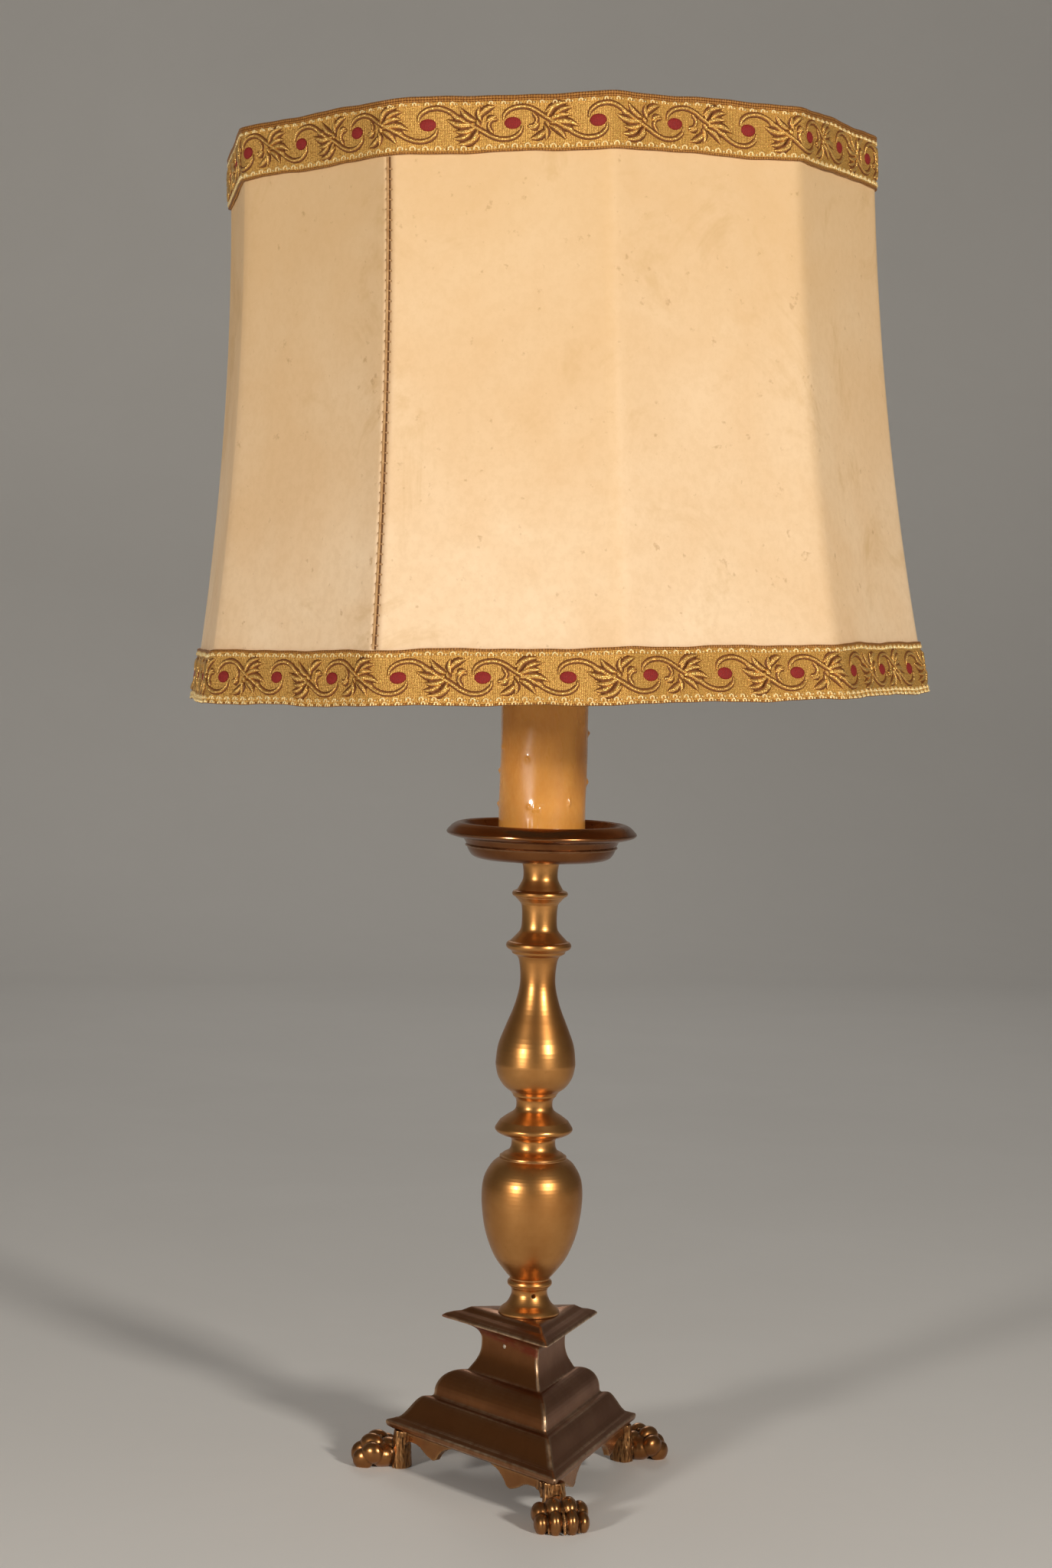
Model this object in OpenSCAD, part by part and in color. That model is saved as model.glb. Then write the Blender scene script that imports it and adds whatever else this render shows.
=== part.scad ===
// Table lamp in the form of a candlestick: a triangular bronze plinth on three lion
// paws, a turned bronze stem with a drip pan, a wax candle sleeve round the lampholder,
// and a ten-sided laced parchment shade bound with woven braid.
// Millimetres, +Z up, origin on the stem's axis at the level the paws stand on.

/* [Plinth] */
// Height of the plinth's underside above the table
foot_h = 19.5; // [18:0.1:24]
// Corner radius of the plinth's widest edge
nose_r = 78.3; // [76:0.1:84]
// Height of the bottom nosing
nose_h = 5.9; // [4.5:0.1:8]
// Corner radius at the top of the lower wave moulding
wave_r = 56.7; // [55:0.1:60]
// Height of the lower wave moulding
wave_h = 13.1; // [10:0.1:16]
// Corner radius of the upper step
step_r = 51.5; // [47:0.1:53]
// Height of the small fillet under the upper step
step_h = 2.3; // [1.5:0.1:4]
// Corner radius at the top of the quarter-round
round_top_r = 34; // [31:0.1:37]
// Height of the quarter-round
round_h = 14; // [12:0.1:17]
// Corner radius of the waist
waist_r = 26; // [25:0.1:29]
// Height of the waist hollow
waist_h = 26.4; // [24:0.1:32]
// Corner radius of the cap plate
cap_r = 48.3; // [44:0.1:54]
// Thickness of the cap plate's edge
cap_h = 4.4; // [3:0.1:6]
// Rise of the cap's top face up to the stem
crown_h = 2.4; // [1.5:0.1:4]
// Thickness of the plinth's cast wall
plinth_wall = 4.1; // [3.4:0.1:4.8]
// Radius of the small casting plug in the left front side of the waist
plug_r = 1.2; // [0.9:0.1:1.6]
// How far the foot screws stand in from the corners of the widest edge
screw_inset = 21.3; // [20.5:0.1:23]
// Radius of the foot screws
screw_r = 2; // [1.6:0.1:2.4]

/* [Paw feet] */
// Distance from the axis to the front of the toes
paw_reach = 95; // [92:0.5:99]
// Width across the four toes
paw_w = 28.6; // [27:0.1:32]
// How far the front paw is turned aside, in degrees
front_turn = 1.5; // [-2:0.1:2]
// Height of the paw's knuckles
paw_h = 17; // [15:0.1:18]
// Length of the two middle toes, from knuckle to tip
toe_l = 16; // [13:0.1:18]
// Distance from the foot screw out to the middle of the ankle
ankle_out = 10.5; // [10:0.1:12]
// Radius of the ankle
ankle_r = 5.2; // [4.5:0.1:5.8]
// Thickness of the scalloped wings beside each paw
wing_t = 3; // [2:0.1:4]
// Length of each wing along the plinth's side
wing_l = 48; // [42:0.5:52]
// How far the wing's drop hangs below the plinth
wing_drop = 10; // [7:0.1:13]

/* [Stem] */
// Height of the collar that stands on the plinth
collar_h = 18.4; // [16:0.1:22]
// Radius of the collar's flange
flange_r = 15.7; // [14.5:0.1:16]
// Height of the urn
urn_h = 62.1; // [50:0.1:75]
// Greatest radius of the urn
urn_r = 25.9; // [23:0.1:30]
// Height of the section with the disc
disc_h = 32.8; // [30:0.1:40]
// Radius of the disc
disc_r = 19.8; // [18.5:0.1:24]
// Height of the pear section
pear_h = 98.7; // [85:0.1:115]
// Greatest radius of the pear
pear_r = 20.4; // [18:0.1:24]
// Height of the spool under the pan
spool_h = 21.7; // [18:0.1:25]
// Radius of the spool's bead
bead_r = 14.3; // [13:0.1:16]
// Radius of the drilled peg hole in the collar
peg_hole_r = 1.25; // [1:0.05:1.5]

/* [Drip pan] */
// Radius of the pan's lip
pan_r = 48.5; // [46:0.1:54]
// Height of the pan
pan_h = 18.6; // [16:0.1:21]
// Width of the pan's lip beyond its bowl
pan_lip = 10.4; // [9:0.1:12]
// Thickness of the pan's floor
pan_floor = 3; // [2.4:0.1:3.6]

/* [Centre tube] */
// Radius of the threaded centre tube
tube_r = 5; // [4.8:0.05:5.2]
// Bore radius of the centre tube
tube_bore_r = 3.8; // [3.5:0.05:4]
// Bore radius of the inlet bush that the cord passes through
inlet_r = 3; // [2.6:0.05:3.1]
// Length of the tube below the plinth's cap
tube_below = 24; // [20:0.5:28]
// Thickness of the nuts
nut_h = 4.5; // [3.5:0.1:5.5]
// Corner radius of the hexagonal nuts
nut_r = 8; // [7.6:0.1:8.4]

/* [Candle and lampholder] */
// Outer radius of the candle sleeve
sleeve_r = 22; // [21.6:0.1:23]
// Wall of the candle sleeve
sleeve_wall = 1.2; // [0.8:0.1:1.4]
// Height of the candle sleeve
sleeve_h = 180.3; // [165:0.1:200]
// Outer radius of the lampholder's threaded shell
shell_r = 19.7; // [19.4:0.05:19.9]
// Wall of the lampholder's shell
shell_wall = 1.5; // [1.2:0.1:1.8]
// Height of the lampholder
holder_h = 53; // [51:0.5:56]
// Bore radius of the lamp screw thread
liner_r = 13.5; // [13.4:0.05:13.8]
// Thickness of each shade ring
ring_h = 4; // [3:0.1:4.5]
// Outer radius of the shade rings
ring_r = 25; // [24:0.1:27]

/* [Bulb] */
// Radius of the bulb's screw cap
bulb_cap_r = 13.1; // [12.9:0.05:13.2]
// Greatest radius of the glass
bulb_r = 17.5; // [16:0.1:18.5]
// Length of the glass above the cap
bulb_l = 80; // [70:0.5:90]

/* [Shade] */
// Number of sides
sides = 10; // [10]
// Corner radius of the skin at the top edge
shade_top_r = 163.8; // [150:0.1:180]
// How much further out the corners stand at the bottom edge
shade_flare = 24.7; // [12:0.1:34]
// Height of the shade
shade_h = 274.4; // [250:0.1:300]
// Height of the shade's bottom edge below the shade ring
shade_drop = 104.4; // [95:0.1:115]
// Thickness of the parchment
skin_t = 0.8; // [0.6:0.05:1.2]
// Radius of the frame's wire
wire_r = 1.5; // [1.2:0.1:2]
// Lean of the shade on its fitter, in degrees
shade_tilt = 2.2; // [0:0.1:2.4]
// Width of the woven braid
braid_w = 25; // [18:0.5:30]
// Thickness of the woven braid
braid_t = 1.2; // [0.8:0.1:1.6]
// Radius of the lacing cord
lace_r = 0.6; // [0.4:0.05:0.9]

/* [Hidden] */

// Clearances: a running fit, a loose hole, and a seat between curved faces.
run_gap = 0.1;
hole_gap = 0.3;
seat_gap = 0.1;

bronze_dark = [0.30, 0.19, 0.09];
bronze = [0.50, 0.35, 0.16];
brass = [0.80, 0.64, 0.30];
steel = [0.62, 0.62, 0.64];
parchment = [0.90, 0.80, 0.60];
gold_braid = [0.76, 0.58, 0.22];
wax = [0.82, 0.60, 0.28];

// Levels of the plinth's mouldings
nose_z = foot_h;
wave_z = nose_z + nose_h;
step_z = wave_z + wave_h;
round_z = step_z + step_h;
waist_z = round_z + round_h;
cap_z = waist_z + waist_h;
crown_z = cap_z + cap_h;
plinth_z = crown_z + crown_h;
plug_z = waist_z + 0.63 * waist_h;

// Foot screws: they hold a lug of each foot against the plinth
screw_at = nose_r - screw_inset;
screw_head_h = 2.4;
screw_l = 10;
lug_t = 3;
lug_z = foot_h - lug_t;
ankle_at = screw_at + ankle_out;

// Levels of the stem
urn_z = plinth_z + collar_h;
disc_z = urn_z + urn_h;
pear_z = disc_z + disc_h;
spool_z = pear_z + pear_h;
pan_z = spool_z + spool_h;
pan_floor_z = pan_z + pan_floor;
sleeve_z = pan_floor_z;
sleeve_top_z = sleeve_z + sleeve_h;
sleeve_in_r = sleeve_r - sleeve_wall;
stem_bore_r = tube_r + hole_gap;
collar_top_r = 10.2;
urn_top_r = 17.2;
pear_ring_r = 16.7;
bowl_r = pan_r - pan_lip;
washer_t = 1.6;
cup_t = 0.8;
tube_low_z = cap_z - tube_below;

// Levels of the shade rings, which lie just above the candle sleeve
lower_ring_z = sleeve_top_z + hole_gap;
fitter_t = 1.5;
fitter_z = lower_ring_z + ring_h + run_gap;
upper_ring_z = fitter_z + fitter_t + run_gap;
ring_bore_r = shell_r + run_gap;
fitter_bore_r = shell_r + hole_gap;
fitter_r = ring_r + 2;

// The lampholder's shell stands above the upper shade ring
shell_top_z = upper_ring_z + ring_h + 5;
holder_z = shell_top_z - holder_h;
cap_part_h = 18;
cap_part_r = shell_r - 0.5;
shell_z = holder_z + cap_part_h;
insulator_z = holder_z + 10;
insulator_h = 12;
liner_z = insulator_z + insulator_h;
liner_wall = 0.8;
shell_lip = 2;
liner_h = shell_top_z - shell_lip - liner_z;
cap_wall = 1.2;
terminal_x = 10;

// Levels of the bulb
contact_h = 4.5;
bulb_z = liner_z + contact_h + seat_gap;
bulb_tip_h = 2;
bulb_cone_h = 3;
bulb_cap_z = bulb_z + bulb_tip_h + bulb_cone_h;
bulb_cap_h = shell_top_z - bulb_cap_z + 1;
bulb_cap_wall = 0.5;
glass_neck_r = bulb_cap_r - bulb_cap_wall - seat_gap;
glass_t = 0.7;
glass_z = bulb_cap_z + bulb_cap_h;
mount_z = glass_z - 5;
mount_h = 0.34 * bulb_l;
lead_x = 5;
lead_z = mount_z + mount_h;
lead_h = 0.2 * bulb_l;

// The shade hangs from the fitter; its panels are parts of large cylinders
half_side = 180 / sides;
fitter_mid_z = fitter_z + fitter_t / 2;
shade_z = fitter_mid_z - shade_drop;
shade_top_z = shade_z + shade_h;
rib_arc_r = (pow(shade_h, 2) + pow(shade_flare, 2)) / (2 * shade_flare);
panel_arc_r = rib_arc_r / cos(half_side);
top_apothem = shade_top_r * cos(half_side);
first_corner = -91.4;
seam_corner = first_corner - 360 / sides;
// The shade leans sideways as seen from a little left of the front
lean_azimuth = -10.8;
// The ribs and wires lie inside the skin's corners
wire_inset = (skin_t + seat_gap + wire_r) / cos(half_side);
edge_inset = wire_r + 0.6;
big_fn = 720;
// A length beyond the whole shade, for the tools that cut it
shade_reach = 2 * (shade_top_r + shade_flare);

// Points along a smooth curve through the given points
function spline_at(a, b, c, d, t) =
    0.5 * (2 * b + (c - a) * t + (2 * a - 5 * b + 4 * c - d) * t * t
        + (3 * b - a - 3 * c + d) * t * t * t);
function smooth(p, n = 4) = concat(
    [for (i = [0 : len(p) - 2], s = [0 : n - 1])
        spline_at(
            p[max(i - 1, 0)], p[i], p[i + 1], p[min(i + 2, len(p) - 1)], s / n)],
    [p[len(p) - 1]]);
// Points of an arc, with separate radii so that it may be an ellipse
function arc(cx, cz, rx, rz, from, to, n = 8) =
    [for (i = [0 : n])
        let (a = from + (to - from) * i / n)
        [cx + rx * cos(a), cz + rz * sin(a)]];
// Corner radius of the skin's outer face at a height
function skin_r(z) = shade_top_r
    + rib_arc_r * (1 - cos(asin((shade_top_z - z) / rib_arc_r)));

// Turned piece from its outline [radius, height], drilled for the centre tube
module turned(outline, base_z, bore = stem_bore_r) {
    top = outline[len(outline) - 1][1];
    translate([0, 0, base_z])
        difference() {
            rotate_extrude($fn = 96)
                polygon(concat([[0, 0]], outline, [[0, top]]));
            translate([0, 0, -1])
                cylinder(r = bore, h = top + 2, $fn = 64);
        }
}

// Straight round bar between two points
module bar(a, b, r) {
    d = b - a;
    turn = atan2(d[1], d[0]);
    dip = atan2(norm([d[0], d[1]]), d[2]);
    translate(a)
        rotate([0, dip, turn])
            cylinder(r = r, h = norm(d), $fn = 24);
}

// Hexagonal nut on the centre tube
module tube_nut(z) {
    translate([0, 0, z])
        difference() {
            cylinder(r = nut_r, h = nut_h, $fn = 6);
            translate([0, 0, -1])
                cylinder(r = tube_r + run_gap, h = nut_h + 2, $fn = 64);
        }
}

// Three-sided solid with mitred mouldings from [corner radius, height] points
module three_sided(outline) {
    low = outline[0][1];
    high = outline[len(outline) - 1][1];
    section = concat(
        [[-2 * nose_r, low]],
        [for (p = outline) [p[0] / 2, p[1]]],
        [[-2 * nose_r, high]]);
    intersection_for (k = [0 : 2])
        rotate([0, 0, 120 * k - 30])
            rotate([90, 0, 0])
                linear_extrude(height = 4 * nose_r, center = true)
                    polygon(section);
}

function plinth_outline() = concat(
    [[nose_r - 4.1, nose_z], [nose_r - 0.9, nose_z + 0.20 * nose_h],
        [nose_r, nose_z + 0.50 * nose_h], [nose_r - 0.4, nose_z + 0.70 * nose_h],
        [nose_r - 4.9, wave_z - 0.3]],
    [for (i = [0 : 10])
        let (t = i / 10, s = t * t * (3 - 2 * t))
        [nose_r - 5.5 + (wave_r - nose_r + 5.5) * t, wave_z + wave_h * s]],
    [[wave_r - 3.2, step_z + 0.15 * step_h], [step_r + 0.4, step_z + 0.5 * step_h]],
    arc(round_top_r, round_z, step_r - round_top_r, round_h, 0, 90, 10),
    smooth([[round_top_r - 1, waist_z + 0.6],
        [waist_r + 2.6, waist_z + 0.24 * waist_h],
        [waist_r + 0.5, waist_z + 0.42 * waist_h],
        [waist_r, waist_z + 0.60 * waist_h],
        [waist_r + 0.8, waist_z + 0.75 * waist_h],
        [waist_r + 4.4, waist_z + 0.86 * waist_h],
        [cap_r - 8, cap_z - 0.9]], 3),
    [[cap_r - 0.2, cap_z], [cap_r, cap_z + 0.2 * cap_h],
        [cap_r - 2.2, cap_z + 0.5 * cap_h], [cap_r - 6.4, cap_z + 0.8 * cap_h],
        [cap_r - 10.7, crown_z], [2 * flange_r + 1, plinth_z]]);

// Triangular plinth, cast hollow, with a solid block in each corner for a foot screw
module plinth() {
    wall = 2 * plinth_wall;
    hollow_r = nose_r - 3 * plinth_wall;
    block_at = screw_at - 6;
    color(bronze_dark)
        difference() {
            three_sided(plinth_outline());
            intersection() {
                three_sided([[hollow_r, nose_z - 1], [hollow_r, wave_z - 1],
                    [wave_r - wall, step_z - 3], [step_r - wall, round_z],
                    [round_top_r + 1, waist_z - 4], [waist_r - wall, waist_z + 5],
                    [waist_r - wall, cap_z]]);
                rotate([0, 0, 60])
                    three_sided([[2 * block_at, nose_z - 2], [2 * block_at, plinth_z]]);
            }
            translate([0, 0, cap_z - 1])
                cylinder(r = stem_bore_r, h = plinth_z, $fn = 64);
            for (k = [0 : 2])
                rotate([0, 0, 120 * k - 90])
                    translate([screw_at, 0, nose_z - 1])
                        cylinder(r = screw_r + run_gap, h = screw_l - lug_t + 2.5,
                            $fn = 32);
            rotate([0, 0, 210])
                translate([waist_r / 2 - 1.2, -3.3, plug_z])
                    rotate([0, 90, 0])
                        cylinder(r = plug_r, h = waist_r, $fn = 32);
        }
}

// One toe: a knuckle and a lowered tip, bent over a middle ball
module toe(side, knuckle_x, knuckle_h, knuckle_r, tip_x, tip_r) {
    mid_x = (knuckle_x + tip_x) / 2 + 1;
    hull() {
        translate([knuckle_x, side * 0.92, knuckle_h - knuckle_r])
            sphere(r = knuckle_r, $fn = 16);
        translate([mid_x, side, knuckle_h * 0.86 - knuckle_r])
            sphere(r = knuckle_r * 0.96, $fn = 16);
    }
    hull() {
        translate([mid_x, side, knuckle_h * 0.86 - knuckle_r])
            sphere(r = knuckle_r * 0.96, $fn = 16);
        translate([tip_x, side, tip_r * 0.9])
            sphere(r = tip_r, $fn = 16);
    }
}

// Outline of a wing: from the ankle over an arch to a hanging drop and up again
function wing_outline() = let (top = foot_h, low = foot_h - wing_drop) concat(
    [[0.125 * wing_l, top], [0.125 * wing_l, low - 2]],
    smooth([[0.146 * wing_l, low - 1], [0.229 * wing_l, low + 0.45 * wing_drop],
        [0.333 * wing_l, low + 0.58 * wing_drop], [0.458 * wing_l, low + 0.5 * wing_drop],
        [0.583 * wing_l, low + 0.16 * wing_drop], [0.69 * wing_l, low]], 3),
    smooth([[0.74 * wing_l, low + 0.10 * wing_drop],
        [0.80 * wing_l, low + 0.48 * wing_drop],
        [0.89 * wing_l, low + 0.78 * wing_drop], [wing_l, top - 0.5]], 3),
    [[wing_l + 1, top]]);

// Lion-paw foot, drawn pointing along +X: paw, ankle, screw lug and two wings
module foot(azimuth, paw_turn = 0) {
    inner_side = paw_w * 0.145;
    outer_side = paw_w * 0.33;
    inner_r = 0.193 * paw_w;
    outer_r = paw_w / 2 - outer_side;
    wing_corner = 2 * (nose_r / 2 - 2.5);
    color(bronze)
        rotate([0, 0, azimuth])
            difference() {
                union() {
                    rotate([0, 0, paw_turn]) {
                        for (s = [-1, 1]) {
                            toe(s * inner_side, paw_reach - toe_l, paw_h, 0.92 * inner_r,
                                paw_reach - inner_r, inner_r);
                            toe(s * outer_side, paw_reach - 1.22 * toe_l, paw_h * 0.8,
                                outer_r, paw_reach - 0.69 * toe_l, outer_r);
                        }
                        hull() {
                            translate([ankle_at + 3, 0, 7])
                                sphere(r = 7, $fn = 16);
                            translate([paw_reach - 0.81 * toe_l, 0, 6])
                                sphere(r = 7, $fn = 16);
                        }
                        hull() {
                            translate([ankle_at, 0, foot_h - ankle_r - 1.5])
                                sphere(r = ankle_r, $fn = 16);
                            translate([paw_reach - 1.06 * toe_l, 0, paw_h - 7])
                                sphere(r = 6, $fn = 16);
                        }
                    }
                    translate([ankle_at, 0, 0])
                        cylinder(r1 = ankle_r + 1, r2 = ankle_r, h = foot_h, $fn = 32);
                    translate([screw_at - 4.5, -ankle_r, lug_z])
                        cube([ankle_at - screw_at + 4.5, 2 * ankle_r, lug_t]);
                    for (s = [0, 1])
                        mirror([0, s, 0])
                            translate([wing_corner, 0, 0])
                                rotate([0, 0, 150])
                                    translate([0, wing_t, 0])
                                        rotate([90, 0, 0])
                                            linear_extrude(height = wing_t)
                                                polygon(wing_outline());
                }
                translate([0, -paw_w, -paw_h])
                    cube([2 * paw_reach, 2 * paw_w, paw_h]);
                translate([screw_at, 0, lug_z - 1])
                    cylinder(r = screw_r + run_gap, h = lug_t + 3, $fn = 32);
            }
}

// Three cheese-head screws that hold the feet to the plinth from below
module foot_screws() {
    color(steel)
        for (k = [0 : 2])
            rotate([0, 0, 120 * k - 90])
                translate([screw_at, 0, 0]) {
                    difference() {
                        translate([0, 0, lug_z - screw_head_h])
                            cylinder(r = screw_r * 1.75, h = screw_head_h, $fn = 32);
                        translate([-screw_r * 2, -screw_r / 5, lug_z - screw_head_h - 1])
                            cube([screw_r * 4, screw_r / 2.5, 2]);
                    }
                    translate([0, 0, lug_z])
                        cylinder(r = screw_r, h = screw_l, $fn = 32);
                }
}

function collar_outline() = concat(
    [[flange_r - 0.3, 0], [flange_r, 0.4], [flange_r, 1.2]],
    smooth([[flange_r - 0.4, 1.8], [flange_r - 1.4, 0.16 * collar_h],
        [flange_r - 3.9, 0.27 * collar_h], [flange_r - 5.6, 0.42 * collar_h],
        [9.2, 0.56 * collar_h], [9.3, 0.68 * collar_h], [9.9, 0.745 * collar_h]], 3),
    arc(10, 0.865 * collar_h, 1.5, 0.095 * collar_h, -90, 90, 6),
    [[collar_top_r, 0.975 * collar_h], [collar_top_r, collar_h]]);

// Collar on the plinth, with a small drilled hole that faces the front
module stem_collar() {
    color(bronze)
        difference() {
            turned(collar_outline(), plinth_z);
            rotate([0, 0, 3])
                translate([0, -tube_r, plinth_z + 0.57 * collar_h])
                    rotate([90, 0, 0])
                        cylinder(r = peg_hole_r, h = flange_r - tube_r, $fn = 32);
        }
}

module urn_section() {
    color(bronze)
        turned(concat([[collar_top_r, 0]],
            smooth([[collar_top_r + 0.4, 0.01 * urn_h], [0.513 * urn_r, 0.06 * urn_h],
                [0.717 * urn_r, 0.178 * urn_h], [0.872 * urn_r, 0.332 * urn_h],
                [0.957 * urn_r, 0.484 * urn_h], [urn_r, 0.675 * urn_h],
                [0.962 * urn_r, 0.828 * urn_h], [0.815 * urn_r, 0.944 * urn_h],
                [urn_top_r, 0.995 * urn_h]], 5),
            [[urn_top_r, urn_h]]), urn_z);
}

module disc_section() {
    color(bronze)
        turned(concat([[urn_top_r - 0.3, 0], [urn_top_r, 0.3], [urn_top_r - 0.1, 1]],
            smooth([[16.4, 0.04 * disc_h], [15.0, 0.075 * disc_h],
                [12.8, 0.11 * disc_h], [11.6, 0.165 * disc_h], [11.2, 0.25 * disc_h],
                [11.4, 0.293 * disc_h], [12.4, 0.332 * disc_h]], 4),
            smooth([[disc_r - 3.5, 0.363 * disc_h], [disc_r - 1.2, 0.399 * disc_h],
                [disc_r, 0.44 * disc_h], [disc_r, 0.475 * disc_h],
                [disc_r - 0.9, 0.52 * disc_h]], 3),
            smooth([[disc_r - 2.2, 0.582 * disc_h], [disc_r - 5.4, 0.655 * disc_h],
                [10.8, 0.726 * disc_h], [9.6, 0.775 * disc_h], [9.25, 0.835 * disc_h],
                [9.46, 0.909 * disc_h], [10.2, 0.948 * disc_h]], 4),
            [[11.1, 0.975 * disc_h], [11.3, disc_h]]), disc_z);
}

module pear_section() {
    color(bronze)
        turned(concat([[11.4, 0]],
            smooth([[12.4, 0.014 * pear_h], [0.782 * pear_r, 0.0415 * pear_h],
                [0.931 * pear_r, 0.089 * pear_h], [0.99 * pear_r, 0.138 * pear_h],
                [pear_r, 0.174 * pear_h], [0.946 * pear_r, 0.258 * pear_h],
                [0.774 * pear_r, 0.354 * pear_h], [0.588 * pear_r, 0.45 * pear_h],
                [0.464 * pear_r, 0.546 * pear_h], [9.0, 0.618 * pear_h],
                [9.75, 0.69 * pear_h], [10.9, 0.719 * pear_h]], 4),
            [[pear_ring_r - 3.3, 0.733 * pear_h], [pear_ring_r - 2.9, 0.744 * pear_h]],
            arc(pear_ring_r - 2.5, 0.774 * pear_h, 2.5, 0.023 * pear_h, -80, 80, 6),
            smooth([[pear_ring_r - 3.5, 0.812 * pear_h], [11.2, 0.833 * pear_h],
                [9.6, 0.855 * pear_h], [9.0, 0.889 * pear_h], [9.0, 0.95 * pear_h],
                [9.4, 0.986 * pear_h]], 4),
            [[10.2, pear_h]]), pear_z);
}

module spool_section() {
    color(bronze)
        turned(concat([[10.4, 0], [11.3, 0.05 * spool_h], [bead_r - 1.7, 0.11 * spool_h]],
            arc(bead_r - 2, 0.194 * spool_h, 2, 0.075 * spool_h, -80, 80, 6),
            [[bead_r - 2.6, 0.29 * spool_h]],
            smooth([[11.25, 0.327 * spool_h], [9.9, 0.438 * spool_h],
                [8.95, 0.544 * spool_h], [8.76, 0.654 * spool_h],
                [8.9, 0.765 * spool_h], [9.3, 0.871 * spool_h],
                [10.4, 0.97 * spool_h]], 4),
            [[10.9, spool_h]]), spool_z);
}

// Drip pan: bowl with a fine bead and a sloping lip, drilled for the centre tube
module drip_pan() {
    outside = concat(
        [[0, 0], [bowl_r - 10.1, 0]],
        smooth([[bowl_r - 7.1, 0.1], [bowl_r - 4.5, 0.04 * pan_h],
            [bowl_r - 2.4, 0.11 * pan_h], [bowl_r - 0.9, 0.23 * pan_h],
            [bowl_r - 0.1, 0.33 * pan_h]], 3),
        arc(bowl_r, 0.365 * pan_h, 0.8, 0.03 * pan_h, -90, 90, 4),
        smooth([[bowl_r + 0.2, 0.41 * pan_h], [bowl_r + 1.1, 0.50 * pan_h],
            [bowl_r + 1.9, 0.56 * pan_h]], 3),
        smooth([[pan_r - 4, 0.61 * pan_h], [pan_r - 1.2, 0.66 * pan_h],
            [pan_r, 0.73 * pan_h], [pan_r - 0.9, 0.81 * pan_h],
            [pan_r - 3, 0.92 * pan_h], [pan_r - 5.3, 0.985 * pan_h],
            [pan_r - 6.7, pan_h]], 4));
    inside = concat(
        smooth([[bowl_r + 2.5, 0.97 * pan_h], [bowl_r + 0.8, 0.82 * pan_h],
            [bowl_r - 0.7, 0.62 * pan_h], [bowl_r - 2.1, 0.40 * pan_h],
            [bowl_r - 4.3, pan_floor + 0.8], [bowl_r - 7.1, pan_floor]], 4),
        [[0, pan_floor]]);
    color(bronze)
        translate([0, 0, pan_z])
            difference() {
                rotate_extrude($fn = 96)
                    polygon(concat(outside, inside));
                translate([0, 0, -1])
                    cylinder(r = stem_bore_r, h = pan_h, $fn = 64);
            }
}

// Threaded centre tube that clamps the whole stack and carries the lampholder
module centre_tube() {
    length = holder_z + 6 - tube_low_z;
    color(brass)
        translate([0, 0, tube_low_z])
            difference() {
                cylinder(r = tube_r, h = length, $fn = 64);
                translate([0, 0, -1])
                    cylinder(r = tube_bore_r, h = length + 2, $fn = 64);
            }
}

module base_washer() {
    color(steel)
        translate([0, 0, cap_z - washer_t])
            difference() {
                cylinder(r = nut_r + 0.2, h = washer_t, $fn = 64);
                translate([0, 0, -1])
                    cylinder(r = tube_r + run_gap, h = 4, $fn = 64);
            }
}

module base_nut() {
    color(steel)
        tube_nut(cap_z - washer_t - nut_h);
}

module pan_nut() {
    color(brass)
        tube_nut(pan_floor_z + cup_t);
}

// Insulating bush in the lower end of the tube, where the cord goes in
module inlet_bush() {
    color([0.12, 0.11, 0.10])
        difference() {
            union() {
                translate([0, 0, tube_low_z - 3])
                    cylinder(r = tube_r + 1.5, h = 3, $fn = 64);
                translate([0, 0, tube_low_z - 1])
                    cylinder(r = tube_bore_r - 0.05, h = 9, $fn = 64);
            }
            translate([0, 0, tube_low_z - 4])
                cylinder(r = inlet_r, h = 14, $fn = 64);
        }
}

// Pressed cup on the pan's floor that centres the candle sleeve
module sleeve_cup() {
    cup_r = sleeve_in_r - hole_gap;
    color(brass)
        translate([0, 0, pan_floor_z])
            difference() {
                cylinder(r = cup_r, h = 8, $fn = 96);
                translate([0, 0, cup_t])
                    cylinder(r = cup_r - cup_t, h = 8, $fn = 96);
                translate([0, 0, -1])
                    cylinder(r = tube_r + hole_gap, h = 4, $fn = 64);
            }
}

// Wax-coated sleeve that stands on the pan and hides the lampholder
module candle_sleeve() {
    color(wax)
        translate([0, 0, sleeve_z])
            difference() {
                cylinder(r = sleeve_r, h = sleeve_h, $fn = 96);
                translate([0, 0, -1])
                    cylinder(r = sleeve_in_r, h = sleeve_h + 2, $fn = 96);
            }
}

// Lower cap of the lampholder, screwed on the tube
module holder_cap() {
    color(brass)
        translate([0, 0, holder_z])
            difference() {
                rotate_extrude($fn = 96)
                    polygon([[0, 0], [8, 0], [cap_part_r - 2, 3.5], [cap_part_r, 7],
                        [cap_part_r, cap_part_h], [cap_part_r - cap_wall, cap_part_h],
                        [cap_part_r - cap_wall, 7.5], [cap_part_r - 2 - cap_wall, 4.9],
                        [8, 2.4], [8, 8], [0, 8]]);
                translate([0, 0, -1])
                    cylinder(r = tube_r + run_gap, h = 12, $fn = 64);
            }
}

// Porcelain body that carries the contacts and terminals
module holder_insulator() {
    body_r = cap_part_r - cap_wall - hole_gap;
    color([0.93, 0.92, 0.88])
        translate([0, 0, insulator_z])
            difference() {
                cylinder(r = body_r, h = insulator_h, $fn = 96);
                for (s = [-1, 1])
                    translate([s * terminal_x, 0, -1])
                        cylinder(r = 3.6, h = 7, $fn = 48);
                translate([0, 0, -1])
                    cylinder(r = 3, h = insulator_h - 2, $fn = 48);
            }
}

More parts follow.
